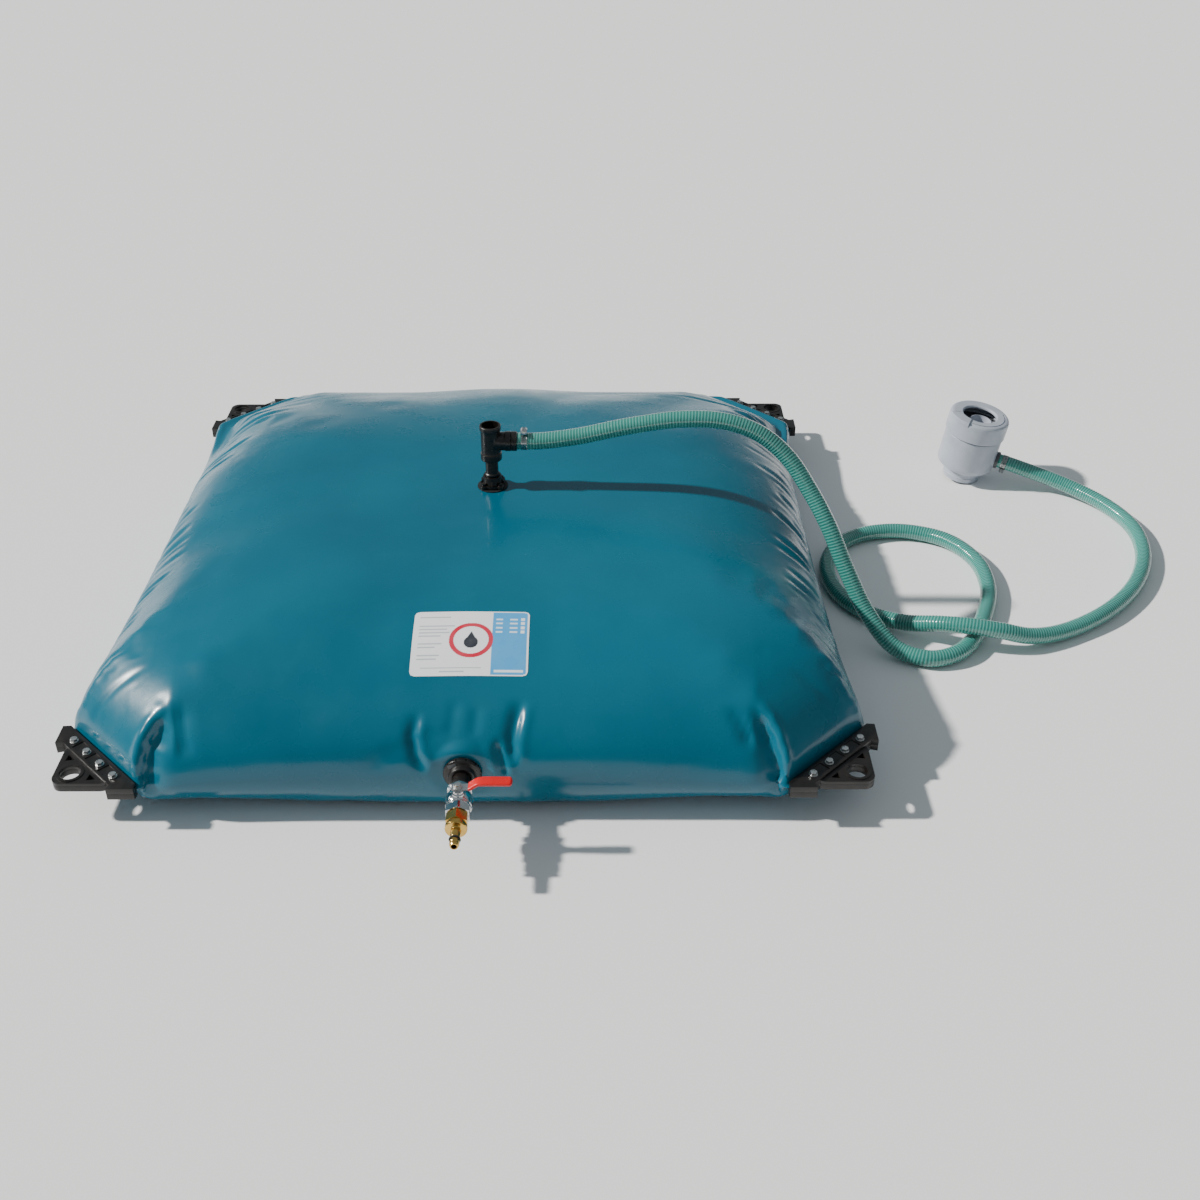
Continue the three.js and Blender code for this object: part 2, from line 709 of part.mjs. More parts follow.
function makeCollector() {
  const frame = place(collector.x, collector.y, collectorZ)
  frame.rotation.copy(collectorTurn)
  const { spigotR, wallR: R, wall, wallTop, skirtTop, capR, capTop, mouthR, tailR } = collector
  const atTail = (geometry) => geometry.applyMatrix4(alongX).translate(0, 0, collector.tailZ)
  const tailHole = atTail(rod(tailR + GAP, 40, 90))

  const skirtR = R - 4
  const shell = turned([
    [spigotR - wall, 0], [spigotR, 0], [spigotR, 27], [58, 30], [67, 36], [R, 45], [R, wallTop],
    [skirtR, wallTop + 0.6], [skirtR, skirtTop], [skirtR - wall, skirtTop], [skirtR - wall, wallTop - 3],
    [R - wall, wallTop - 5], [R - wall, 47], [63, 39], [55, 34], [spigotR - wall, 32],
  ], WIDE_ROUND)
  add(frame, 'collector_body', cut(shell, tailHole), grey)

  const skirtIn = R - 0.4
  const lipLow = capTop - 8
  const capWall = turned([
    [skirtIn, wallTop + 2], [capR, wallTop + 2], [capR, capTop - 8], [71, capTop - 2.5], [66, capTop],
    [mouthR + wall, capTop], [mouthR, capTop - 3], [mouthR, lipLow], [mouthR + wall, lipLow],
    [mouthR + wall, capTop - 5], [skirtIn, capTop - 5],
  ], WIDE_ROUND)
  const tongue = box(-68, -52, -13, 13, capTop - 2, capTop + 3).rotateZ(deg(collector.tongueDeg))
  add(frame, 'collector_cap', join(capWall, tongue), grey)

  // The overflow stand pipe, off centre in the body, on a plate that rests in the lower spigot.
  const { standR, standOffset, standTop, plateZ, standWall, strainerZ } = collector
  const stand = cut(
    join(
      rod(spigotR - wall - 0.5, plateZ, plateZ + 3.5, WIDE_ROUND),
      rod(standR, plateZ, standTop).translate(standOffset, 0, 0),
    ),
    rod(standR - standWall, plateZ - 8, standTop + 10).translate(standOffset, 0, 0),
  )
  add(frame, 'overflow_stand_pipe', stand, grey)

  // The strainer's openings: small ones between large ones, on a circle inside the skirt.
  const slots = []
  for (const [angles, r, outward] of [[[30, 150, 210, 330], 9, 47], [[90, 270], 12, 46]]) {
    for (const a of angles) {
      const slot = rod(r, strainerZ - 3, strainerZ + 7, 12)
      slots.push(slot.translate(outward * Math.cos(deg(a)), outward * Math.sin(deg(a)), 0))
    }
  }
  const strainer = cut(
    rod(skirtR - wall - 0.6, strainerZ, strainerZ + 3, WIDE_ROUND),
    rod(standR + 0.4, strainerZ - 3, strainerZ + 7).translate(standOffset, 0, 0),
    ...slots,
  )
  add(frame, 'collector_strainer', strainer, darkGrey)

  const collarFrom = R + GAP + 0.5
  const collar = [[tailR, collarFrom], [21, collarFrom], [21, 78], [barb.r, 78]]
  const tail = hoseTail(58, tailR, collar, 110).translate(0, 0, collector.tailZ)
  add(frame, 'collector_hose_tail', tail, darkGrey)
  addClamp(frame, 'collector', new THREE.Vector3(collector.clampOut, 0, collector.tailZ), deg(150))
}

makeCollector()

// ---- label --------------------------------------------------------------------------------------

function makeLabel() {
  const [width, depth, thick] = [210, 148, 0.6]
  const round = 8
  const shape = new THREE.Shape()
  const [w, h] = [width / 2 - round, depth / 2 - round]
  shape.absarc(w, h, round, 0, Math.PI / 2)
  shape.absarc(-w, h, round, Math.PI / 2, Math.PI)
  shape.absarc(-w, -h, round, Math.PI, 1.5 * Math.PI)
  shape.absarc(w, -h, round, 1.5 * Math.PI, 2 * Math.PI)
  const sheet = new THREE.ExtrudeGeometry(shape, { depth: thick, bevelEnabled: false, curveSegments: 4 })
  const mesh = add(group, 'label', sheet, white)
  mesh.position.set(8, -570, 245.6)
  mesh.quaternion.setFromAxisAngle(X, deg(16))
}

makeLabel()

export default group
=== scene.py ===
"""Looks for the rainwater bladder: fabric, hose, fittings, collector, label, light and camera.

Metres, +Z up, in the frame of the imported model. The bladder is simulated cloth filled with water; the
fittings are turned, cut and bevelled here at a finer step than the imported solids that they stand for.
"""
import json
import math

import bmesh
import bpy
import numpy as np
from mathutils import Matrix, Vector
from mathutils.bvhtree import BVHTree

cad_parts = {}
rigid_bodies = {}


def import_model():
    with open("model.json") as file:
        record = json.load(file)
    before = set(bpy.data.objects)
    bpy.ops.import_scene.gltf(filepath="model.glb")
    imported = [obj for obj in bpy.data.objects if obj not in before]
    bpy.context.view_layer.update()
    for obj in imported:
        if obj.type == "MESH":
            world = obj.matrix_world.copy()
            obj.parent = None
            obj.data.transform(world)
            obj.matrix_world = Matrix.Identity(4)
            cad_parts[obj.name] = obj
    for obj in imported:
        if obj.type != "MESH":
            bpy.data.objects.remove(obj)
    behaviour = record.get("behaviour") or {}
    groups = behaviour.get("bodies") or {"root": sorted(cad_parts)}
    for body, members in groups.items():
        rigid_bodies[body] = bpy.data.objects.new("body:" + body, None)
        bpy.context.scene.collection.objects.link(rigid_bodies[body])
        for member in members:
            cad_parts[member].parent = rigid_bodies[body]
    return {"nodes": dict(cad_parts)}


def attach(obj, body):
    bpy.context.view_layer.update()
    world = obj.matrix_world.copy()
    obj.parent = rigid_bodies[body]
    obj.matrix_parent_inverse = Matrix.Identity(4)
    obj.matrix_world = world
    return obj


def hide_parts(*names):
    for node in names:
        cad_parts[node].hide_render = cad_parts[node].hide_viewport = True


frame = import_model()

for default in ("Cube", "Light", "Camera"):
    if default in bpy.data.objects:
        bpy.data.objects.remove(bpy.data.objects[default])
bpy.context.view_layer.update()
SCENE = bpy.context.scene
MM = 0.001

# ---- measures of the object ---------------------------------------------------------------------

CORNER = (0.652, 0.684, 0.080)  # middle of a corner plate's inner edge, mirrored to all four
CORNERS = {"front_right": (1, -1), "front_left": (-1, -1), "back_right": (1, 1), "back_left": (-1, 1)}
INLET = (0.018, -0.040)
INLET_SEAT = 0.2817
BRANCH_Z = 0.386
OUTLET_SEAT_Y = -0.752
OUTLET_Z = 0.105
VALVE_Y = -0.832
COLLECTOR_LEAN = math.radians(8.2)
COLLECTOR_TURN = math.radians(-25)  # the way it leans, from +X
COLLECTOR = Vector((1.162, 0.512, 0.0455 * math.sin(COLLECTOR_LEAN) + 0.00005))
TAIL_Z = 0.0696

INLET_FRAME = Matrix.Translation((INLET[0], INLET[1], 0))
ALONG_X = Matrix.Rotation(math.pi / 2, 4, "Y")
BRANCH_FRAME = Matrix.Translation((INLET[0], INLET[1], BRANCH_Z)) @ ALONG_X
OUTLET_FRAME = Matrix.Translation((0, OUTLET_SEAT_Y, OUTLET_Z)) @ Matrix.Rotation(math.pi / 2, 4, "X")
COLLECTOR_FRAME = (Matrix.Translation(COLLECTOR) @ Matrix.Rotation(COLLECTOR_TURN, 4, "Z")
                   @ Matrix.Rotation(COLLECTOR_LEAN, 4, "Y"))
TAIL_FRAME = COLLECTOR_FRAME @ Matrix.Translation((0, 0, TAIL_Z)) @ ALONG_X


def corner_frame(sx, sy):
    """A corner's frame: +Y points out of the corner, X runs along the cut."""
    turn = Matrix.Rotation(math.atan2(sy, sx) - math.pi / 2, 4, "Z")
    return Matrix.Translation((sx * CORNER[0], sy * CORNER[1], CORNER[2])) @ turn


# ---- camera, floor and light --------------------------------------------------------------------


LENS = 42
CAMERA_AT = (0.2325, -2.624, 1.715)  # a standing person's eye, in front of the bladder
CAMERA_TURN = (math.radians(90 - 33.7), 0, math.radians(-0.24))
FLOOR_HALF, FLOOR_DROP = 150, 0.0005
FLOOR_COLOUR = (0.93, 0.93, 0.93, 1)
SUN_TOWARDS = (0.80, -0.02, -0.60)
SUN_ENERGY, SUN_WIDTH = 5.6, math.radians(2.5)
SKY_LOW, SKY_HIGH = (0.34, 0.39, 0.41, 1), (0.82, 0.93, 1.0, 1)


def placed(name, data):
    """A new object in the scene."""
    made = bpy.data.objects.new(name, data)
    SCENE.collection.objects.link(made)
    return made


def evaluated(piece):
    return piece.evaluated_get(bpy.context.evaluated_depsgraph_get())


def set_inputs(node, **values):
    """Sets a node's inputs by their names, with _ for a space."""
    for name, value in values.items():
        node.inputs[name.replace("_", " ")].default_value = value


def make_camera():
    data = bpy.data.cameras.new("camera")
    data.sensor_width = 36
    data.lens = LENS
    cam = placed("camera", data)
    cam.location = CAMERA_AT
    cam.rotation_euler = CAMERA_TURN
    SCENE.camera = cam


def make_floor():
    bm = bmesh.new()
    bmesh.ops.create_grid(bm, x_segments=1, y_segments=1, size=FLOOR_HALF)
    mesh = bpy.data.meshes.new("floor")
    bm.to_mesh(mesh)
    bm.free()
    floor = placed("floor", mesh)
    floor.location.z = -FLOOR_DROP
    mat = bpy.data.materials.new("floor")
    mat.use_nodes = True
    shader = mat.node_tree.nodes["Principled BSDF"]
    set_inputs(shader, Base_Color=FLOOR_COLOUR, Roughness=0.9, Specular_IOR_Level=0.1)
    mesh.materials.append(mat)


def make_light():
    sun = bpy.data.lights.new("sun", "SUN")
    sun.energy = SUN_ENERGY
    sun.angle = SUN_WIDTH
    sun.color = (1.0, 0.97, 0.93)
    lamp = placed("sun", sun)
    lamp.rotation_euler = Vector(SUN_TOWARDS).to_track_quat("-Z", "Y").to_euler()
    world = bpy.data.worlds.new("studio")
    SCENE.world = world
    world.use_nodes = True
    nodes, links = world.node_tree.nodes, world.node_tree.links
    background = nodes["Background"]
    set_inputs(background, Strength=0.34)
    towards = nodes.new("ShaderNodeSeparateXYZ")
    links.new(nodes.new("ShaderNodeTexCoord").outputs["Generated"], towards.inputs["Vector"])
    height = nodes.new("ShaderNodeMapRange")
    set_inputs(height, From_Min=0.0, From_Max=0.6)
    links.new(towards.outputs["Z"], height.inputs["Value"])
    sky = nodes.new("ShaderNodeMix")
    sky.data_type = "RGBA"
    sky.inputs[6].default_value = SKY_LOW
    sky.inputs[7].default_value = SKY_HIGH
    links.new(height.outputs["Result"], sky.inputs["Factor"])
    links.new(sky.outputs[2], background.inputs["Color"])


make_camera()
make_floor()
make_light()

# ---- material nodes -----------------------------------------------------------------------------


class Shader:
    """A node material in the making: a Principled shader with procedural maps in object space."""

    def __init__(self, name, roughness, metallic=0.0, **constants):
        self.material = bpy.data.materials.new(name)
        self.material.use_nodes = True
        self.tree = self.material.node_tree
        self.bsdf = self.tree.nodes["Principled BSDF"]
        set_inputs(self.bsdf, Roughness=roughness, Metallic=metallic, **constants)
        self.coords = self.tree.nodes.new("ShaderNodeTexCoord").outputs["Object"]
        self.normal = None

    def node(self, kind, **settings):
        made = self.tree.nodes.new(kind)
        for key, value in settings.items():
            setattr(made, key, value)
        return made

    def link(self, source, target):
        self.tree.links.new(source, target)

    def stretched(self, scale):
        mapping = self.node("ShaderNodeMapping")
        set_inputs(mapping, Scale=scale)
        self.link(self.coords, mapping.inputs["Vector"])
        return mapping.outputs["Vector"]

    def noise(self, scale, detail=4.0, rough=0.55, vector=None):
        noise = self.node("ShaderNodeTexNoise")
        set_inputs(noise, Scale=scale, Detail=detail, Roughness=rough)
        self.link(vector or self.coords, noise.inputs["Vector"])
        return noise.outputs["Fac"]

    def spread(self, value, low, high, start=0.3, stop=0.7):
        ranged = self.node("ShaderNodeMapRange")
        set_inputs(ranged, From_Min=start, From_Max=stop, To_Min=low, To_Max=high)
        self.link(value, ranged.inputs["Value"])
        return ranged.outputs["Result"]

    def mix(self, factor, first, second):
        mixer = self.node("ShaderNodeMix", data_type="RGBA")
        self.link(factor, mixer.inputs["Factor"])
        for socket, value in ((mixer.inputs[6], first), (mixer.inputs[7], second)):
            if isinstance(value, tuple):
                socket.default_value = (*value, 1)
            else:
                self.link(value, socket)
        return mixer.outputs[2]

    def mottled(self, scale, detail, low, high):
        """A colour that drifts from one to another in soft patches."""
        return self.colour(self.mix(self.spread(self.noise(scale, detail), 0, 1), low, high))

    def colour(self, output):
        self.link(output, self.bsdf.inputs["Base Color"])
        return self

    def roughness(self, output):
        self.link(output, self.bsdf.inputs["Roughness"])
        return self

    def bump(self, height, distance, strength=1.0):
        bump = self.node("ShaderNodeBump")
        set_inputs(bump, Distance=distance, Strength=strength)
        self.link(height, bump.inputs["Height"])
        if self.normal:
            self.link(self.normal, bump.inputs["Normal"])
        self.normal = bump.outputs["Normal"]
        self.link(self.normal, self.bsdf.inputs["Normal"])
        return self

    def attribute(self, name, output="Fac"):
        return self.node("ShaderNodeAttribute", attribute_name=name).outputs[output]


def fabric_material():
    """PVC-coated fabric: smooth and glossy, its base weave only just felt through the coating."""
    s = Shader("teal_coated_fabric", 0.26, Coat_Weight=0.15, Coat_Roughness=0.08, Specular_IOR_Level=0.4)
    cloudy = s.noise(2.2, 3)
    tone = s.mix(s.spread(cloudy, 0, 1), (0.0004, 0.100, 0.160), (0.0008, 0.130, 0.198))
    dust = s.spread(s.noise(14, 6, 0.7), 0, 0.03, 0.52, 0.8)
    s.colour(s.mix(dust, tone, (0.10, 0.26, 0.30)))
    s.roughness(s.spread(s.noise(9, 5), 0.20, 0.34))
    for turn in (0, 1):
        weave = s.node("ShaderNodeTexWave", wave_type="BANDS", bands_direction="XY"[turn])
        set_inputs(weave, Scale=330, Distortion=0.6)
        s.link(s.coords, weave.inputs["Vector"])
        s.bump(weave.outputs["Fac"], 0.00005, 0.2)
    s.bump(s.noise(38, 3), 0.0005, 0.3)
    return s.material


def black_plastic_material():
    s = Shader("black_moulded_plastic", 0.32, Coat_Weight=0.1)
    s.mottled(40, 4, (0.004, 0.0033, 0.003), (0.012, 0.009, 0.0075))
    s.roughness(s.spread(s.noise(90, 5), 0.24, 0.46))
    s.bump(s.noise(900, 2), 0.00008, 0.5)
    s.bump(s.noise(60, 3), 0.0004, 0.25)
    return s.material


def plastic_material(name, low, high, rough, grain):
    s = Shader(name, rough)
    s.mottled(22, 5, low, high)
    s.roughness(s.spread(s.noise(70, 5), rough - 0.08, rough + 0.1))
    s.bump(s.noise(grain, 2), 0.00007, 0.5)
    return s.material


def metal_material(name, low, high, rough, brushed=(1, 1, 1)):
    """A metal with tarnish in its colour and fine scratches; brushed stretches them along an axis."""
    s = Shader(name, rough, 1.0)
    s.colour(s.mix(s.spread(s.noise(55, 6, 0.6), 0, 1), low, high))
    scratches = s.noise(300, 5, 0.7, s.stretched(brushed))
    s.roughness(s.spread(scratches, rough * 0.7, rough * 1.5))
    s.bump(scratches, 0.00005, 0.5)
    return s.material


def rubber_material():
    s = Shader("black_rubber", 0.65)
    s.mottled(60, 4, (0.008, 0.008, 0.009), (0.02, 0.02, 0.021))
    s.bump(s.noise(700, 3), 0.0001, 0.5)
    return s.material


def hose_material():
    """Clear green PVC over a stiff pale spiral; the rib attribute is 1 on the spiral."""
    s = Shader("green_spiral_hose", 0.14, Transmission_Weight=0.35, IOR=1.46, Coat_Weight=1.0)
    cloudy = s.spread(s.noise(7, 4), 0, 1)
    clear = s.mix(cloudy, (0.016, 0.235, 0.195), (0.035, 0.320, 0.265))
    s.colour(s.mix(s.attribute("rib"), clear, (0.17, 0.56, 0.48)))
    s.roughness(s.spread(s.noise(120, 4), 0.12, 0.24))
    s.bump(s.noise(160, 3), 0.0002, 0.3)
    return s.material


def label_material():
    """Printed film; the ink attribute is its print."""
    s = Shader("printed_label_film", 0.3, Coat_Weight=0.2)
    ink = s.attribute("ink", "Color")
    soil = s.spread(s.noise(35, 5), 0, 0.08)
    s.colour(s.mix(soil, ink, (0.62, 0.64, 0.64)))
    s.roughness(s.spread(s.noise(60, 4), 0.24, 0.42))
    s.bump(s.noise(70, 3), 0.0003, 0.3)
    return s.material


MATERIAL = {
    "fabric": fabric_material(),
    "label": label_material(),
    "black": black_plastic_material(),
    "rubber": rubber_material(),
    "hose": hose_material(),
    "zinc": metal_material("zinc_plate", (0.55, 0.56, 0.55), (0.74, 0.75, 0.74), 0.28),
    "steel": metal_material("rolled_steel", (0.50, 0.51, 0.52), (0.66, 0.66, 0.66), 0.25, (1, 14, 1)),
    "chrome": metal_material("chrome_plate", (0.58, 0.58, 0.58), (0.76, 0.76, 0.76), 0.09),
    "brass": metal_material("turned_brass", (0.60, 0.36, 0.09), (0.80, 0.54, 0.17), 0.17),
    "ptfe": plastic_material("white_seat", (0.84, 0.84, 0.82), (0.9, 0.9, 0.88), 0.45, 400),
    "red": plastic_material("red_sleeve", (0.62, 0.004, 0.005), (0.76, 0.008, 0.010), 0.27, 500),
    "grey": plastic_material("grey_collector", (0.36, 0.395, 0.46), (0.44, 0.475, 0.54), 0.38, 700),
    "dark": plastic_material("dark_grey_plastic", (0.045, 0.048, 0.055), (0.08, 0.084, 0.092), 0.42, 600),
}

# ---- mesh helpers -------------------------------------------------------------------------------

SEGMENTS = 64  # round a turned piece, where nothing else is asked for
HEX_CHAMFER = 0.12  # what is turned off a hexagon's corners, as a part of their radius
FLAT_ANGLE = math.radians(2)  # faces closer to flat than this are one face
BEVEL_ANGLE = math.radians(30)  # edges sharper than this are rounded


def add_piece(mesh, name, material, body="tank", smooth_angle=35):
    """Links a mesh as a piece on a body, with its material, slot and smooth shading."""
    piece = placed(name, mesh)
    mesh.materials.append(MATERIAL[material])
    mesh.polygons.foreach_set("use_smooth", [True] * len(mesh.polygons))
    mesh.set_sharp_from_angle(angle=math.radians(smooth_angle))
    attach(piece, body)
    return piece


def to_mesh(bm, name, matrix=None):
    bmesh.ops.recalc_face_normals(bm, faces=bm.faces)
    mesh = bpy.data.meshes.new(name)
    bm.to_mesh(mesh)
    bm.free()
    if matrix:
        mesh.transform(matrix)
    return mesh


def lathe(profile, segments=SEGMENTS):
    """A bmesh turned about Z from (radius, z) pairs in millimetres; it closes on itself."""
    bm = bmesh.new()
    closed = profile[0][0] > 0
    rings = []
    for r, z in profile:
        if r == 0:
            rings.append([bm.verts.new((0, 0, z * MM))])
            continue
        angles = [2 * math.pi * i / segments for i in range(segments)]
        rings.append([bm.verts.new((r * MM * math.cos(a), r * MM * math.sin(a), z * MM)) for a in angles])
    pairs = list(zip(rings, rings[1:]))
    if closed:
        pairs.append((rings[-1], rings[0]))
    for low, high in pairs:
        for i in range(segments):
            j = (i + 1) % segments
            corners = [low[i % len(low)], low[j % len(low)], high[j % len(high)], high[i % len(high)]]
            bm.faces.new(list(dict.fromkeys(corners)))
    return bm


def rounded(profile, radius):
    """Rounds the corners of a (radius, z) profile by cutting each with a short curve."""
    steps = 3
    out = []
    n = len(profile)
    for i, point in enumerate(profile):
        before, after = Vector(profile[i - 1]), Vector(profile[(i + 1) % n])
        here = Vector(point)
        if point[0] == 0 or (i in (0, n - 1) and profile[0][0] == 0):
            out.append(point)
            continue
        a, b = before - here, after - here
        reach = min(radius, a.length * 0.45, b.length * 0.45)
        start, end = here + a.normalized() * reach, here + b.normalized() * reach
        for k in range(steps + 1):
            t = k / steps
            out.append(tuple(start * (1 - t) ** 2 + here * 2 * t * (1 - t) + end * t * t))
    return out


def tube(inner, outer, low, high, soften=0.0, segments=SEGMENTS):
    """A bmesh tube about Z, or a rod where the inner radius is 0."""
    profile = [(inner, low), (outer, low), (outer, high), (inner, high)]
    return lathe(rounded(profile, soften) if soften else profile, segments)


def prism(outline, z0, z1, holes=()):
    """A bmesh prism on a closed outline of (x, y) in millimetres, with holes of the same kind."""
    curve = bpy.data.curves.new("outline", "CURVE")
    curve.dimensions = "2D"
    curve.fill_mode = "BOTH"
    curve.extrude = (z1 - z0) / 2 * MM
    for loop in (outline, *holes):
        spline = curve.splines.new("POLY")
        spline.points.add(len(loop) - 1)
        spline.use_cyclic_u = True
        for point, (x, y) in zip(spline.points, loop):
            point.co = (x * MM, y * MM, 0, 1)
    holder = placed("outline", curve)
    mesh = bpy.data.meshes.new_from_object(evaluated(holder))
    bpy.data.objects.remove(holder)
    bm = bmesh.new()
    bm.from_mesh(mesh)
    bpy.data.meshes.remove(mesh)
    bmesh.ops.remove_doubles(bm, verts=bm.verts, dist=1e-6)
    bmesh.ops.translate(bm, verts=bm.verts, vec=(0, 0, (z0 + z1) / 2 * MM))
    return bm


def circle(r, x=0.0, y=0.0, steps=48):
    return [(x + r * math.cos(2 * math.pi * k / steps), y + r * math.sin(2 * math.pi * k / steps))
            for k in range(steps)]


def arc(r, start, stop, steps=48):
    """Points along an arc, from one angle to another in degrees."""
    angles = np.radians(np.linspace(start, stop, steps))
    return [(r * math.cos(a), r * math.sin(a)) for a in angles]


def bevel(bm, width, segments=2):
    """Rounds every sharp edge."""
    bm.normal_update()
    edges = [e for e in bm.edges if e.is_manifold and e.calc_face_angle(0) > BEVEL_ANGLE]
    bmesh.ops.bevel(bm, geom=edges, offset=width * MM, segments=segments, profile=0.6,
                    affect="EDGES", clamp_overlap=True)
    return bm


def hexagon(flats, z0, z1, bore=0.0):
    """A bmesh hexagon with its corners turned off at both ends, like a nut or a bolt head."""
    r = flats / math.sqrt(3)
    lip = r * HEX_CHAMFER
    bm = prism(circle(r, steps=6), z0, z1, [circle(bore)] if bore else [])
    cone = to_mesh(lathe([(0, z0), (r - lip, z0), (r + 0.1, z0 + lip * 0.7), (r + 0.1, z1 - lip * 0.7),
                          (r - lip, z1), (0, z1)]), "cone")
    return boolean(bm, cone, "INTERSECT")


def boolean(bm, other, operation):
    """Combines a bmesh with a mesh by an exact boolean; the other mesh is used up."""
    mesh = to_mesh(bm, "first")
    first, second = placed("first", mesh), placed("second", other)
    modifier = first.modifiers.new("cut", "BOOLEAN")
    modifier.operation = operation
    modifier.solver = "EXACT"
    modifier.object = second
    bpy.context.view_layer.update()
    result = bpy.data.meshes.new_from_object(evaluated(first))
    for holder in (first, second):
        bpy.data.objects.remove(holder)
    out = bmesh.new()
    out.from_mesh(result)
    for used in (mesh, other, result):
        bpy.data.meshes.remove(used)
    bmesh.ops.remove_doubles(out, verts=out.verts, dist=2e-6)
    return out


def joined(bm, other, matrix=None):
    return boolean(bm, to_mesh(other, "added", matrix), "UNION")


def cut(bm, other, matrix=None):
    return boolean(bm, to_mesh(other, "cutter", matrix), "DIFFERENCE")


def rotated(bm, degrees, axis="Z"):
    turn = Matrix.Rotation(math.radians(degrees), 3, axis)
    bmesh.ops.rotate(bm, verts=bm.verts, cent=(0, 0, 0), matrix=turn)
    return bm


def moved(bm, x):
    bmesh.ops.translate(bm, verts=bm.verts, vec=(x * MM, 0, 0))
    return bm


def flattened(bm):
    """Makes one face of faces that lie level with each other."""
    bmesh.ops.dissolve_limit(bm, angle_limit=FLAT_ANGLE, verts=bm.verts, edges=bm.edges)
    return bm


def merge(*parts):
    """Puts several bmeshes, each with its own matrix or none, into one."""
    out = bmesh.new()
    for part in parts:
        bm, matrix = part if isinstance(part, tuple) else (part, None)
        mesh = to_mesh(bm, "part", matrix)
        out.from_mesh(mesh)
        bpy.data.meshes.remove(mesh)
    return out


def shaped(name, bm, material, matrix, body="tank", stands_for=()):
    """A piece from a bmesh, in place, on its body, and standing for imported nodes."""
    piece = add_piece(to_mesh(bm, name, matrix), name, material, body)
    if stands_for:
        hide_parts(*stands_for)
    return piece


def turned(name, profile, material, matrix, soften=0.6, stands_for=()):
    """A turned piece with softened corners."""
    shape = rounded(profile, soften) if soften else profile
    return shaped(name, lathe(shape), material, matrix, stands_for=stands_for)


# ---- hose ---------------------------------------------------------------------------------------

HOSE_RADIUS = 0.018
HOSE_BORE = 0.0152
RIB_PITCH = 0.0063
RIB_HEIGHT = 0.0007
RIB_SHAPE = (0.0, 0.0, 0.75, 1.0, 0.2)  # heights over one pitch
HOSE_SIDES = 20
INNER_STEP = 0.006

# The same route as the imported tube, in millimetres; its two ends come from the fittings.
HOSE_POINTS = [
    (118, -40, 386), (196, -40, 396), (300, -40, 419), (410, -40, 435), (500, -42, 431),
    (572, -50, 406), (630, -68, 361), (676, -96, 300), (715, -134, 237), (756, -180, 152),
    (798, -223, 78), (852, -272, 27), (918, -300, 18.5), (978, -283, 18.6), (1025, -232, 18),
    (1068, -145, 18), (1102, -35, 18), (1100, 80, 18), (1050, 170, 18), (960, 210, 18),
    (865, 198, 18), (793, 142, 18), (756, 45, 18), (770, -62, 18.4), (820, -134, 18.9),
    (890, -186, 30), (955, -219, 49), (1015, -238, 56), (1075, -244, 49), (1140, -236, 30),
    (1215, -208, 19.4), (1330, -135, 18.4), (1430, -25, 18), (1490, 100, 18), (1505, 225, 18.3),
    (1470, 335, 19), (1400, 406, 30),
]


def smooth_curve(points, per_span=60):
    """A centripetal Catmull-Rom curve through the points, as closely spaced samples."""
    p = [np.array(q, float) for q in points]
    p = [2 * p[0] - p[1], *p, 2 * p[-1] - p[-2]]
    out = []
    for i in range(1, len(p) - 2):
        t = [0.0]
        for k in range(3):
            t.append(t[-1] + max(1e-6, np.linalg.norm(p[i + k] - p[i + k - 1])) ** 0.5)
        s = np.linspace(t[1], t[2], per_span, endpoint=i == len(p) - 3)[:, None]
        q = p[i - 1:i + 3]
        a = [(t[k + 1] - s) / (t[k + 1] - t[k]) * q[k] + (s - t[k]) / (t[k + 1] - t[k]) * q[k + 1]
             for k in range(3)]
        b = [(t[k + 2] - s) / (t[k + 2] - t[k]) * a[k] + (s - t[k]) / (t[k + 2] - t[k]) * a[k + 1]
             for k in range(2)]
        out.append((t[2] - s) / (t[2] - t[1]) * b[0] + (s - t[1]) / (t[2] - t[1]) * b[1])
    return np.vstack(out)


def distances(points):
    """How far along a line each of its points lies."""
    return np.concatenate([[0], np.cumsum(np.linalg.norm(np.diff(points, axis=0), axis=1))])


def evenly(points, step):
    """The same line with its points an even step apart, and its length."""
    along = distances(points)
    count = round(along[-1] / step)
    at = np.linspace(0, along[-1], count + 1)
    return np.column_stack([np.interp(at, along, points[:, k]) for k in range(3)]), along[-1]


def carried_frames(points):
    """Side and up vectors that don't twist along the line."""
    tangents = np.gradient(points, axis=0)
    tangents /= np.linalg.norm(tangents, axis=1)[:, None]
    side = np.cross(tangents[0], (0, 0, 1.0))
    sides = []
    for t in tangents:
        side = side - t * (side @ t)
        side /= np.linalg.norm(side)
        sides.append(side)
    sides = np.array(sides)
    return sides, np.cross(sides, tangents)


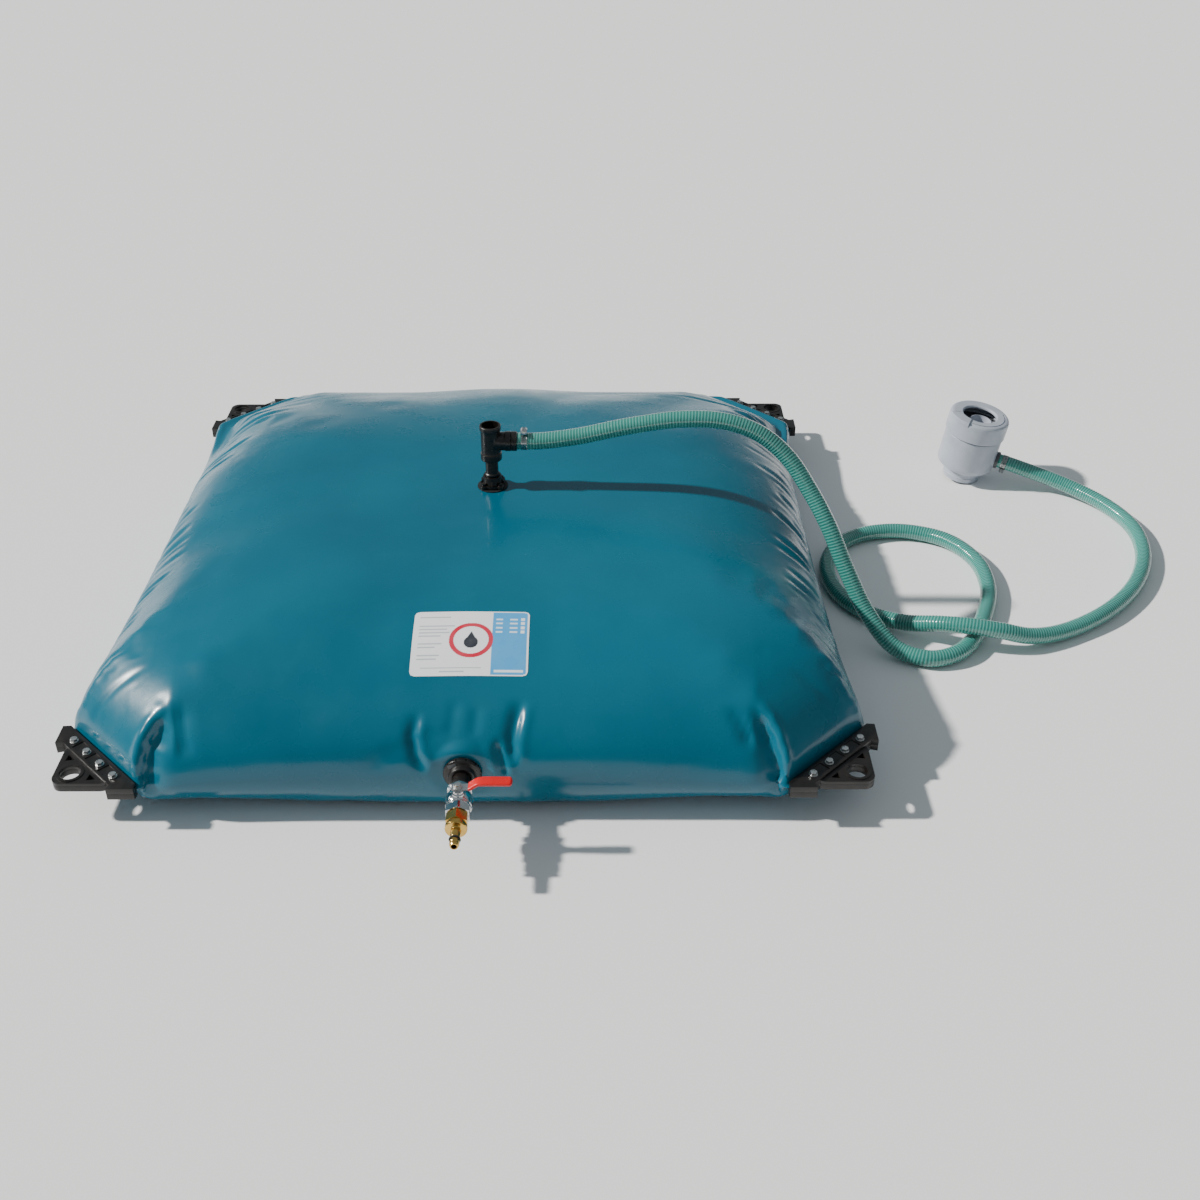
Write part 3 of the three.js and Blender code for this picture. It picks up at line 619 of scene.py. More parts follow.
def tube_walls(line, length):
    """The hose's outer wall, its mesh lines following the spiral, and its plain inner wall."""
    sides, ups = carried_frames(line)
    along = np.linspace(0, length, len(line))

    def wall(at, angle, radius):
        centre, side, up = (np.stack([np.interp(at, along, data[:, k]) for k in range(3)], -1)
                            for data in (line, sides, ups))
        outward = side * np.cos(angle)[..., None] + up * np.sin(angle)[..., None]
        return centre + radius[..., None] * outward

    per_pitch = len(RIB_SHAPE)
    step = RIB_PITCH / per_pitch
    rows = np.arange(-per_pitch, round(length / step) + 1)
    i, j = np.meshgrid(rows, np.arange(HOSE_SIDES), indexing="ij")
    at = np.clip(i * step + RIB_PITCH * j / HOSE_SIDES, 0, length)
    rib = np.array(RIB_SHAPE)[i % per_pitch]
    fade = np.clip((np.minimum(at, length - at) - 0.001) / 0.004, 0, 1)
    outer = wall(at, 2 * math.pi * j / HOSE_SIDES, HOSE_RADIUS - RIB_HEIGHT * (1 - rib * fade))
    count = len(rows)
    index = i - rows[0]
    turn = (j == HOSE_SIDES - 1) * per_pitch
    a = index * HOSE_SIDES + j
    b = (index + turn) * HOSE_SIDES + (j + 1) % HOSE_SIDES
    inside = index + turn + 1 < count
    quads = np.stack([a, b, b + HOSE_SIDES, a + HOSE_SIDES], -1)[inside]

    rings = round(length / INNER_STEP) + 1
    i, j = np.meshgrid(np.arange(rings), np.arange(HOSE_SIDES), indexing="ij")
    inner = wall(i * length / (rings - 1), 2 * math.pi * j / HOSE_SIDES, np.full(i.shape, HOSE_BORE))
    first = count * HOSE_SIDES
    a, b = first + i * HOSE_SIDES + j, first + i * HOSE_SIDES + (j + 1) % HOSE_SIDES
    inner_quads = np.stack([a, a + HOSE_SIDES, b + HOSE_SIDES, b], -1)[:-1].reshape(-1, 4)

    j = np.arange(HOSE_SIDES)
    k = (j + 1) % HOSE_SIDES
    last_outer, last_inner = (count - 1) * HOSE_SIDES, first + (rings - 1) * HOSE_SIDES
    near = np.stack([k, j, first + j, first + k], -1)
    far = np.stack([last_outer + j, last_outer + k, last_inner + k, last_inner + j], -1)
    verts = np.vstack([outer.reshape(-1, 3), inner.reshape(-1, 3)])
    ribs = np.concatenate([(rib * fade).ravel(), np.zeros(inner.size // 3)])
    return verts, np.vstack([quads, inner_quads, near, far]), ribs


def make_hose():
    start = np.array([INLET[0] + 0.0545, INLET[1], BRANCH_Z])
    end = np.array(TAIL_FRAME @ Vector((0, 0, 0.0783)))
    before_end = np.array(TAIL_FRAME @ Vector((0, 0, 0.1283)))
    route = [start, *(np.array(p) * MM for p in HOSE_POINTS), before_end, end]
    line, length = evenly(smooth_curve(route), 0.002)
    verts, faces, ribs = tube_walls(line, length)
    mesh = bpy.data.meshes.new("spiral_hose")
    mesh.from_pydata(verts.tolist(), [], faces.tolist())
    attribute = mesh.attributes.new("rib", "FLOAT", "POINT")
    attribute.data.foreach_set("value", ribs.astype(np.float32))
    bm = bmesh.new()
    bm.from_mesh(mesh)
    bmesh.ops.remove_doubles(bm, verts=bm.verts, dist=1e-6)
    bmesh.ops.recalc_face_normals(bm, faces=bm.faces)
    bm.to_mesh(mesh)
    bm.free()
    piece = add_piece(mesh, "spiral_hose", "hose", smooth_angle=60)
    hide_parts("hose")
    return piece, line, length, start


hose, hose_line, hose_length, hose_exit = make_hose()

# ---- bladder ------------------------------------------------------------------------------------

ROOT_2 = math.sqrt(2)
FLAT_PART = (0.50, 0.55)  # half of what lies flat on the ground, along X and Y
OUTLET_FLANGE_R = 0.036
UPPER_Z = 0.2  # the top panel's middle lies above this
SETTLE_R, INLET_SEAT_R, OUTLET_SEAT_R = 0.22, 0.075, 0.06  # reach of the dents round the flanges
FRONT_LIFT, SIDE_LIFT, SHOULDER_HALF = 0.013, 0.014, 0.42
BACK_DROP, BACK_CORNER_DROP = 0.044, 0.016
EDGE_CELLS = 15  # small squares from the weld inwards, on the coarse grid
EDGE_STEP = 0.0176
MIDDLE_CELLS = (10, 12)  # larger squares from the middle out to them, along X and Y
MIDDLE_STEP = (0.0501, 0.0468)
CUT_CELLS = 9  # squares along a cut corner
PANEL_BELLY = 0.010  # how much longer the panels are in their middles than at their ends
PLATE_REACH = 0.110  # half of the edge that a corner plate clamps
PLATE_BITE = 0.006  # how far that edge lies between the plate's halves
MID_FRONT, MID_SIDE = 0.757, 0.700
TOP_Z = 0.284
SEAM_MID_Z, SEAM_CORNER_Z = 0.100, 0.080
GROUND_Z = 0.0006
COARSE_FRAMES, FINE_FRAMES = 24, 16  # how long the cloth settles on either grid
FILLED_CLOTH = {
    "quality": 6, "mass": 0.01, "tension_stiffness": 600, "compression_stiffness": 600,
    "shear_stiffness": 300, "bending_stiffness": 0.4, "tension_damping": 8, "compression_damping": 8,
    "shear_damping": 8, "bending_damping": 1, "air_damping": 2, "vertex_group_mass": "pins",
    "pin_stiffness": 1, "use_pressure": True, "uniform_pressure_force": 3.5, "fluid_density": 2,
}


def smoothstep(t):
    t = np.clip(t, 0, 1)
    return t * t * (3 - 2 * t)


def vectors(vertices, key):
    """The places or normals of a mesh's vertices, as rows of three."""
    out = np.empty(len(vertices) * 3, np.float32)
    vertices.foreach_get(key, out)
    return out.reshape(-1, 3).astype(float)


def laid_out(cells, axis):
    """Metres from the middle of the flat panel for a signed count of coarse cells."""
    inner = np.minimum(np.abs(cells), MIDDLE_CELLS[axis])
    return np.sign(cells) * (inner * MIDDLE_STEP[axis] + (np.abs(cells) - inner) * EDGE_STEP)


FLAT_HALF = tuple(m * n + EDGE_CELLS * EDGE_STEP for m, n in zip(MIDDLE_CELLS, MIDDLE_STEP))


def cut_out(flat):
    """The flat panels' real outline: a little longer in the middle of each side than at its ends."""
    u, v = flat.T / np.array(FLAT_HALF)[:, None]
    belly = 1 + PANEL_BELLY * (1 - np.column_stack([v, u]) ** 2)
    return flat * belly


class Panels:
    """The bladder's two panels as one grid, welded along an eight-sided edge; scale refines it."""

    def __init__(self, scale):
        self.half = tuple((n + EDGE_CELLS) * scale for n in MIDDLE_CELLS)
        self.reach = sum(self.half) - CUT_CELLS * scale
        self.ids = {}
        places = []
        self.faces = []
        na, nb = self.half
        for i in range(-na, na):
            for j in range(-nb, nb):
                square = [(i, j), (i + 1, j), (i + 1, j + 1), (i, j + 1)]
                square = [p for p in square if abs(p[0]) + abs(p[1]) <= self.reach]
                if len(square) < 3:
                    continue
                for side in (1, -1):
                    ring = []
                    for p in square[::side]:
                        edge = abs(p[0]) == na or abs(p[1]) == nb or abs(p[0]) + abs(p[1]) == self.reach
                        key = (*p, 0 if edge else side)
                        if key not in self.ids:
                            self.ids[key] = len(places)
                            places.append(key)
                        ring.append(self.ids[key])
                    self.faces.append(ring)
        self.places = np.array(places)
        self.flat = np.column_stack([laid_out(self.places[:, k] / scale, k) for k in (0, 1)])
        self.side = self.places[:, 2]
        self.clamped = np.abs(self.places[:, :2]).sum(1) == self.reach


def quarter_edge():
    """One quarter of the edge: filled outline, flat outline, and how much each point is a corner's."""
    a, b = FLAT_HALF
    gone = CUT_CELLS * EDGE_STEP
    inner, outer = (PLATE_BITE - PLATE_REACH) / ROOT_2, (PLATE_BITE + PLATE_REACH) / ROOT_2
    front = np.array([CORNER[0] + inner, CORNER[1] + outer])
    side = np.array([CORNER[0] + outer, CORNER[1] + inner])
    full, flat = [], []
    for t in np.linspace(0, 1, 30, endpoint=False):
        full.append((front[0] * t, MID_FRONT + (front[1] - MID_FRONT) * t ** 4))
        flat.append(((a - gone) * t, b))
    for t in np.linspace(0, 1, 12, endpoint=False):
        full.append(tuple(front + (side - front) * t))
        flat.append((a - gone + gone * t, b - gone * t))
    for t in np.linspace(1, 0, 31):
        full.append((MID_SIDE + (side[0] - MID_SIDE) * t ** 3, side[1] * t))
        flat.append((a, (b - gone) * t))
    full, flat = np.array(full), np.array(flat)
    along = np.abs(full[:, 0] - full[:, 1] - (CORNER[0] - CORNER[1])) / ROOT_2
    return full, flat, smoothstep(1 - np.maximum(0, along - 0.1145) / 0.26)


def blown_up(panels):
    """A first full shape: each flat point is laid along a smooth profile at its own length."""
    full, flat, corner = quarter_edge()
    angles = np.arctan2(flat[:, 1], flat[:, 0])
    count = np.arange(len(flat))
    rho = np.concatenate([np.linspace(0, 0.9, 40, endpoint=False), 1 - 0.1 * np.linspace(1, 0, 60) ** 2])
    out = []
    for (u, v), side in zip(panels.flat, panels.side):
        k = np.interp(-math.atan2(abs(v), abs(u)), -angles, count)
        edge, rim, share = (np.array([np.interp(k, count, c) for c in np.atleast_2d(d.T)])
                            for d in (full, flat, corner))
        share = share[0]
        seam = SEAM_MID_Z + (SEAM_CORNER_Z - SEAM_MID_Z) * share
        part = math.hypot(u, v) / math.hypot(*rim)
        if side == 0:
            r, z = 1.0, seam
        else:
            if side > 0:
                rise = 1 - rho ** (3.4 + 3.6 * share)
                height = seam + (TOP_Z - seam) * rise ** (1 / (2 - 0.7 * share))
            else:
                t = np.minimum(1, (1 - rho) / (0.07 + 0.05 * share))
                height = seam * (1 - np.sqrt(np.maximum(0, 1 - (1 - t) ** (2 - 0.6 * share))))
            steps = np.hypot(np.diff(rho) * math.hypot(*edge), np.diff(height))
            far = np.concatenate([[0], np.cumsum(steps)])
            r = np.interp(part * far[-1], far, rho)
            z = np.interp(part * far[-1], far, height)
        out.append((edge[0] * r * np.sign(u), edge[1] * r * np.sign(v), max(z, GROUND_Z)))
    return np.array(out)


def on_outlet(shape):
    out = np.hypot(shape[:, 0], shape[:, 2] - OUTLET_Z)
    return (shape[:, 1] < -0.70) & (out < OUTLET_FLANGE_R)


def lying_flat(panels):
    u, v = np.abs(panels.flat.T)
    return (panels.side < 0) & (u < FLAT_PART[0]) & (v < FLAT_PART[1])


def held(panels, shape):
    """Points that don't move: the clamped corners, the ground under the middle, the outlet's seat."""
    return panels.clamped | lying_flat(panels) | on_outlet(shape)


def fill(panels, start, frames):
    """Lets the panels swell with water as simulated cloth, from a start shape; returns the new one."""
    shape = start.copy()
    ground = lying_flat(panels)
    shape[ground, :2] = panels.flat[ground]
    shape[ground, 2] = GROUND_Z
    shape[on_outlet(shape), 1] = OUTLET_SEAT_Y
    mesh = bpy.data.meshes.new("filling")
    mesh.from_pydata(shape.tolist(), [], panels.faces)
    piece = placed("filling", mesh)
    piece.shape_key_add(name="Basis")
    flat_key = piece.shape_key_add(name="flat")
    flat = np.column_stack([cut_out(panels.flat), 0.02 * panels.side]).astype(np.float32)
    flat_key.data.foreach_set("co", flat.ravel())
    flat_key.value = 0
    pins = piece.vertex_groups.new(name="pins")
    pins.add([int(i) for i in np.flatnonzero(held(panels, shape))], 1.0, "ADD")
    bpy.ops.mesh.primitive_plane_add(size=4)
    ground_plane = bpy.context.object
    ground_plane.modifiers.new("ground", "COLLISION")
    ground_plane.collision.thickness_outer = 0.001
    ground_plane.collision.cloth_friction = 5

    cloth = piece.modifiers.new("water", "CLOTH")
    cloth.settings.rest_shape_key = flat_key
    for key, value in FILLED_CLOTH.items():
        setattr(cloth.settings, key, value)
    cloth.collision_settings.distance_min = 0.001
    cloth.collision_settings.collision_quality = 2
    cloth.point_cache.frame_start = 1
    cloth.point_cache.frame_end = frames + 1
    SCENE.frame_start, SCENE.frame_end = 1, frames + 1
    for number in range(1, frames + 1):
        SCENE.frame_set(number)
    out = vectors(evaluated(piece).data.vertices, "co")
    bpy.data.objects.remove(piece)
    bpy.data.objects.remove(ground_plane)
    bpy.data.meshes.remove(mesh)
    SCENE.frame_set(1)
    return out


def halfway(grid):
    """A grid with a new row and column of points halfway between the old ones."""
    for axis in (0, 1):
        grid = np.moveaxis(grid, axis, 0)
        out = np.empty((2 * len(grid) - 1, *grid.shape[1:]))
        out[::2] = grid
        out[1::2] = (grid[1:] + grid[:-1]) / 2
        grid = np.moveaxis(out, 0, axis)
    return grid


def refined(coarse, shape, fine):
    """The shape of the coarse panels carried over to the fine ones."""
    na, nb = coarse.half
    layers = {}
    for side in (1, -1):
        grid = np.full((2 * na + 1, 2 * nb + 1, 3), np.nan)
        here = (coarse.side == side) | (coarse.side == 0)
        grid[coarse.places[here, 0] + na, coarse.places[here, 1] + nb] = shape[here]
        for i in range(-na, na + 1):
            for j in (coarse.reach + 1 - abs(i), abs(i) - coarse.reach - 1):
                if abs(j) > nb or j == 0:
                    continue
                x, y = i + na, j + nb
                dx, dy = int(np.sign(i)), int(np.sign(j))
                grid[x, y] = grid[x - dx, y] + grid[x, y - dy] - grid[x - dx, y - dy]
        layers[side] = halfway(grid)
    top, bottom = layers[1], layers[-1]
    x, y = fine.places[:, 0] + 2 * na, fine.places[:, 1] + 2 * nb
    return np.where((fine.side >= 0)[:, None], top[x, y], bottom[x, y])


def bladder_shape():
    coarse, fine = Panels(1), Panels(2)
    shape = blown_up(coarse)
    shape = fill(coarse, shape, COARSE_FRAMES)
    shape = refined(coarse, shape, fine)
    shape = fill(fine, shape, FINE_FRAMES)
    return fine, shape


def press_seats(shape):
    """Flat seats under the two flanges, and fabric pinched flat between the corner plates."""
    x, y, z = shape.T
    out = np.hypot(x - INLET[0], y - INLET[1])
    upper = z > UPPER_Z
    under_flange = INLET_SEAT - 0.0002
    top = upper & (out < SETTLE_R)
    lift = under_flange - np.median(z[upper & (out < 0.03)])
    z[top] += lift * smoothstep(1 - out[top] / SETTLE_R)
    seat = upper & (out < INLET_SEAT_R)
    z[seat] += (under_flange - z[seat]) * smoothstep((INLET_SEAT_R - out[seat]) / 0.035)
    out = np.hypot(x, z - OUTLET_Z)
    seat = (y < -0.65) & (out < OUTLET_SEAT_R)
    behind_flange = OUTLET_SEAT_Y + 0.0004
    y[seat] += (behind_flange - y[seat]) * smoothstep((OUTLET_SEAT_R - out[seat]) / 0.022)
    for sx, sy in CORNERS.values():
        u = ((x * sx - CORNER[0]) + (y * sy - CORNER[1])) / ROOT_2
        pinch = smoothstep((u + 0.012) / 0.011)
        level = CORNER[2] + np.clip(z - CORNER[2], -0.0011, 0.0011)
        z += (level - z) * pinch
    return np.column_stack([x, y, z])


def hump(distance, centre, half_width):
    return smoothstep(1 - np.abs(np.abs(distance) - centre) / half_width)


def stiffen_shoulders(shape):
    """Lifts the middles of the four shoulders, which the welded edges keep level, and lowers the
    back one, where the ground falls away and the bladder isn't quite full."""
    x, y, z = shape.T
    top = smoothstep((z - 0.10) / 0.08)
    front = FRONT_LIFT * smoothstep(1 - np.abs(x) / SHOULDER_HALF) * hump(y, 0.52, 0.30)
    side = SIDE_LIFT * smoothstep(1 - np.abs(y) / SHOULDER_HALF) * hump(x, 0.52, 0.28)
    back = BACK_DROP + BACK_CORNER_DROP * smoothstep(np.abs(x) / 0.5)
    back = back * smoothstep((y - 0.12) / 0.46)
    return np.column_stack([x, y, z + top * (front + side - back)])


# Creases where the full bladder's fabric is tucked: points on the front wall as (x, z) from the top
# down, then the crease's depth and its half widths to the left and to the right.
FRONT_CREASES = [
    ([(-0.504, 0.204), (-0.531, 0.178), (-0.552, 0.146), (-0.561, 0.104), (-0.557, 0.040)],
     0.019, (0.0095, 0.0300)),
    ([(-0.496, 0.214), (-0.490, 0.176), (-0.484, 0.126)], 0.007, (0.0080, 0.0120)),
    ([(0.502, 0.206), (0.528, 0.180), (0.545, 0.148), (0.555, 0.108), (0.556, 0.042)],
     0.019, (0.0260, 0.0090)),
    ([(0.470, 0.206), (0.494, 0.172), (0.506, 0.142)], 0.006, (0.0110, 0.0080)),
    ([(-0.076, 0.200), (-0.086, 0.168), (-0.080, 0.140), (-0.060, 0.104)], 0.0070, (0.0120, 0.0075)),
    ([(0.104, 0.212), (0.096, 0.190), (0.088, 0.160), (0.090, 0.116)], 0.0085, (0.0150, 0.0085)),
    ([(0.060, 0.168), (0.066, 0.144), (0.078, 0.096)], 0.0070, (0.0100, 0.0060)),
    ([(-0.012, 0.212), (-0.022, 0.160)], 0.0016, (0.0110, 0.0110)),
    ([(0.026, 0.206), (0.020, 0.162)], 0.0016, (0.0100, 0.0100)),
    ([(0.104, 0.070), (0.116, 0.004)], 0.006, (0.0080, 0.0070)),
    ([(0.140, 0.060), (0.152, 0.004)], 0.004, (0.0070, 0.0060)),
]
SHARP_SIDE = 0.011  # a crease side narrower than this swells up beside the valley
SIDE_PITCH = 0.042
SIDE_REACH = 0.62


def split_for_creases(mesh):
    """Splits the grid along the sides' shoulders and round the outlet, where creases are close."""
    bm = bmesh.new()
    bm.from_mesh(mesh)

    def chosen(axis, test):
        out = []
        for edge in bm.edges:
            run = edge.verts[1].co - edge.verts[0].co
            if abs(run[axis]) > 0.8 * run.length and test((edge.verts[0].co + edge.verts[1].co) / 2):
                out.append(edge)
        return out

    shoulders = chosen(1, lambda at: abs(at.x) > 0.56 and abs(at.y) < 0.58 and at.z > 0.085)
    bmesh.ops.subdivide_edges(bm, edges=shoulders, cuts=1, use_grid_fill=True)
    outlet = chosen(0, lambda at: abs(at.x) < 0.18 and at.y < -0.62 and at.z > 0.002)
    bmesh.ops.subdivide_edges(bm, edges=outlet, cuts=2, use_grid_fill=True)
    bm.to_mesh(mesh)
    bm.free()


def press_crease(points, normals, line, depth, widths):
    """Presses a crease into the skin along a line on it, with a low swelling on either side."""
    nearest = np.full(len(points), 1.0)
    width = np.full(len(points), widths[0])
    part = np.zeros(len(points))
    far = distances(line)
    near = np.flatnonzero(np.all((points > line.min(0) - 0.06) & (points < line.max(0) + 0.06), axis=1))
    for a, b, start, stop in zip(line, line[1:], far, far[1:]):
        run = b - a
        t = np.clip((points[near] - a) @ run / (run @ run), 0, 1)
        away = points[near] - a - t[:, None] * run
        gap = np.linalg.norm(away, axis=1)
        closer = gap < nearest[near]
        nearest[near[closer]] = gap[closer]
        leftward = np.einsum("ij,ij->i", away, np.cross(run, normals[near])) > 0
        width[near[closer]] = np.where(leftward, *widths)[closer]
        part[near[closer]] = (start + t[closer] * (stop - start)) / far[-1]
    taper = smoothstep(part / 0.35) * smoothstep((1 - part) / 0.25)
    valley = np.exp(-(nearest / width) ** 2)
    swelling = np.exp(-((nearest - 2.1 * width) / width) ** 2) * (width < SHARP_SIDE)
    return points - normals * (depth * taper * (valley - 0.2 * swelling))[:, None]


def side_creases():
    """Pinches that run down the left and right shoulders, of uneven depth and length."""
    random = np.random.default_rng(11)
    out = []
    for side in (-1, 1):
        y = -SIDE_REACH
        while y < SIDE_REACH:
            top = 0.232 - 0.045 * random.random()
            bottom = 0.105 + 0.045 * random.random()
            drift = 0.012 + 0.024 * random.random()
            points = [(side, y + drift * (z - 0.17) / 0.06, z) for z in np.linspace(top, bottom, 6)]
            depth, width = 0.0012 + 0.0034 * random.random() ** 1.4, 0.0065 + 0.004 * random.random()
            out.append((points, depth, (width, width)))
            y += SIDE_PITCH * (0.7 + 0.7 * random.random())
    return out


def creased(mesh):
    """The mesh's points with every crease pressed in."""
    points, normals = vectors(mesh.vertices, "co"), vectors(mesh.vertices, "normal")
    skin = BVHTree.FromPolygons(points.tolist(), [tuple(face.vertices) for face in mesh.polygons])
    lines = []
    for wall, depth, widths in FRONT_CREASES:
        lines.append(([((x, -1.2, z), (0, 1, 0)) for x, z in wall], depth, widths))
    for wall, depth, widths in side_creases():
        lines.append(([((1.2 * side, y, z), (-side, 0, 0)) for side, y, z in wall], depth, widths))
    for rays, depth, widths in lines:
        hits = [skin.ray_cast(Vector(at), Vector(towards))[0] for at, towards in rays]
        line = np.array([hit for hit in hits if hit])
        if len(line) > 1:
            points = press_crease(points, normals, line, depth, widths)
    points[:, 2] = np.maximum(points[:, 2], GROUND_Z / 2)
    return points


def make_bladder():
    panels, shape = bladder_shape()
    shape = stiffen_shoulders(shape)
    mesh = bpy.data.meshes.new("bladder_fabric")
    mesh.from_pydata(shape.tolist(), [], panels.faces)
    split_for_creases(mesh)
    piece = placed("bladder_rough", mesh)
    smooth = piece.modifiers.new("smooth", "SUBSURF")
    smooth.levels = smooth.render_levels = 1
    fine = bpy.data.meshes.new_from_object(evaluated(piece))
    bpy.data.objects.remove(piece)
    fine.vertices.foreach_set("co", press_seats(creased(fine)).ravel())
    fine.update()
    fine.name = "bladder_fabric"
    made = add_piece(fine, "bladder_fabric", "fabric", smooth_angle=60)
    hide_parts("bladder")
    return made


fabric = make_bladder()
SKIN = BVHTree.FromObject(fabric, bpy.context.evaluated_depsgraph_get())

# ---- label --------------------------------------------------------------------------------------

LABEL_SIZE = (0.210, 0.148)
LABEL_CENTRE = (0.008, -0.570)
LABEL_CELL = 0.001
LABEL_LIFT = 0.0006
BLUE_WIDTH, BORDER = 0.0664, 0.003


def inside_round(u, v, half_u, half_v, r):
    """1 inside a rectangle with round corners, 0 outside."""
    dx, dy = np.maximum(np.abs(u) - half_u + r, 0), np.maximum(np.abs(v) - half_v + r, 0)
    return np.hypot(dx, dy) <= r


def bar(u, v, left, right, low, high):
    return (u >= left) & (u <= right) & (v >= low) & (v <= high)


def label_ink(u, v):
    """The label's print, in linear colour: a blue panel, plain bars for text, a ring with a drop."""
    ink = np.tile((0.92, 0.93, 0.94), (len(u), 1))
    blue, red = (0.055, 0.37, 0.74), (0.62, 0.012, 0.045)
    dark, pale = (0.015, 0.02, 0.03), (0.50, 0.54, 0.58)

    def paint(mask, colour):
        ink[mask] = colour

    half_u, half_v = LABEL_SIZE[0] / 2, LABEL_SIZE[1] / 2
    edge = half_u - BLUE_WIDTH
    paint((u > edge) & inside_round(u, v, half_u - BORDER, half_v - BORDER, 0.006), blue)
    for k in range(4):
        row = 0.052 - 0.0105 * k
        paint(bar(u, v, edge + 0.006, edge + 0.018, row, row + 0.0036), (0.75, 0.85, 0.92))
        paint(bar(u, v, edge + 0.031, edge + 0.045, row, row + 0.0036), (0.75, 0.85, 0.92))
        paint(bar(u, v, 0.090, 0.097, row - 0.0012, row + 0.0058), (0.9, 0.93, 0.95))
    paint(bar(u, v, edge + 0.006, edge + 0.058, -0.066, -0.0615), (0.85, 0.92, 0.96))
    for row, length in ((0.058, 0.056), (0.036, 0.064), (0.028, 0.050), (0.020, 0.056), (0.012, 0.040),
                        (-0.006, 0.042), (-0.014, 0.030), (-0.032, 0.040), (-0.040, 0.034)):
        paint(bar(u, v, -0.094, -0.094 + length, row, row + 0.0026), pale)
    paint(bar(u, v, -0.086, 0.022, -0.0585, -0.056), pale)
    paint(bar(u, v, -0.052, -0.008, -0.066, -0.0635), pale)
    cu, cv = u - 0.001, v - 0.004
    out = np.hypot(cu, cv)
    drop = np.hypot(cu, cv + 0.006) < 0.013
    tip = (cv > -0.006) & (cv < 0.020) & (np.abs(cu) < 0.0125 * (1 - (cv + 0.006) / 0.026))
    paint(drop | tip, dark)
    paint((out > 0.0315) & (out < 0.040), red)
    return np.column_stack([ink, np.ones(len(u))])


def surface_point(x, y):
    hit, normal, _, _ = SKIN.ray_cast(Vector((x, y, 0.6)), Vector((0, 0, -1)))
    return np.array(hit + normal * LABEL_LIFT)


def label_rows(v_values):
    """Where each row of the label meets the slope, measured along the fabric from its centre."""
    ys = np.arange(-0.700, -0.440, 0.002)
    spine = np.array([surface_point(LABEL_CENTRE[0], y) for y in ys])
    along = distances(spine)
    along -= np.interp(LABEL_CENTRE[1], ys, along)
    return np.interp(v_values, along, ys)


def make_label():
    w, d = LABEL_SIZE
    us = np.linspace(-w / 2, w / 2, round(w / LABEL_CELL) + 1)
    vs = np.linspace(-d / 2, d / 2, round(d / LABEL_CELL) + 1)
    rows = label_rows(vs)
    steps = 6  # only every sixth column is measured on the skin, and the others lie between
    points = np.zeros((len(us), len(vs), 3))
    for i in range(0, len(us), steps):
        for j in range(len(vs)):
            points[i, j] = surface_point(LABEL_CENTRE[0] + us[i], rows[j])
    knots = np.arange(0, len(us), steps)
    for j in range(len(vs)):
        for k in range(3):
            points[:, j, k] = np.interp(np.arange(len(us)), knots, points[knots, j, k])
    for _ in range(6):
        points[:, 1:-1, 2] = (points[:, 2:, 2] + 2 * points[:, 1:-1, 2] + points[:, :-2, 2]) / 4
        points[1:-1, :, 2] = (points[2:, :, 2] + 2 * points[1:-1, :, 2] + points[:-2, :, 2]) / 4
    u, v = (g.ravel() for g in np.meshgrid(us, vs, indexing="ij"))
    keep = inside_round(u, v, w / 2, d / 2, 0.008).reshape(len(us), len(vs))
    n = len(vs)
    i, j = np.meshgrid(np.arange(len(us) - 1), np.arange(n - 1), indexing="ij")
    whole = keep[:-1, :-1] & keep[1:, :-1] & keep[:-1, 1:] & keep[1:, 1:]
    i, j = i[whole], j[whole]
    quads = np.stack([i * n + j, (i + 1) * n + j, (i + 1) * n + j + 1, i * n + j + 1], -1)
    mesh = bpy.data.meshes.new("printed_label")
    mesh.from_pydata(points.reshape(-1, 3).tolist(), [], quads.tolist())
    ink = mesh.attributes.new("ink", "FLOAT_COLOR", "POINT")
    ink.data.foreach_set("color", label_ink(u, v).astype(np.float32).ravel())
    bm = bmesh.new()
    bm.from_mesh(mesh)
    bmesh.ops.delete(bm, geom=[vert for vert in bm.verts if not vert.link_faces], context="VERTS")
    bm.to_mesh(mesh)
    bm.free()
    piece = add_piece(mesh, "printed_label", "label")
    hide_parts("label")


make_label()

# ---- corner plates and bolts --------------------------------------------------------------------

BOLT_ROW = (-69, -23, 23, 69)
BOLT_OUT = 18
EYE_OUT, EYE_R = 64, 18.5
PLATE_HALF = 12
LUG_HALF = 6
WELL_DEPTH = 1.6


def mirrored(half):
    return [*half, *[(-x, y) for x, y in reversed(half) if x > 0]]


BAR = [(114.5, 0), (124, 11), (90, 45), (84, 34)]


def lug_outline():
    """The clamping bar with the tie-down lug, which ends in a round nose."""
    peak, r = 104.7, 18.6
    middle = peak - r * ROOT_2
    nose = [(x, middle + y) for x, y in arc(r, 45, 85, 9)]
    return mirrored([*BAR, (67, 34), (62, 42.7), *nose, (0, middle + r)])


def plate_cutters():
    """What is taken out of a plate: bolt holes, the eye, the two pockets, and the slot for the fabric."""
    pocket = [(28, 41), (47, 41), (37.5, 54)]
    cutters = [prism(circle(4.4, v, BOLT_OUT, 24), -30, 30) for v in BOLT_ROW]
    cutters.append(prism(circle(EYE_R, 0, EYE_OUT), -30, 30))
    cutters.append(prism(pocket, -30, 30))
    cutters.append(prism([(-x, y) for x, y in pocket], -30, 30))
    cutters.append(prism([(-106, -5), (106, -5), (106, 29), (-106, 29)], -1.5, 1.5))
    return merge(*cutters)


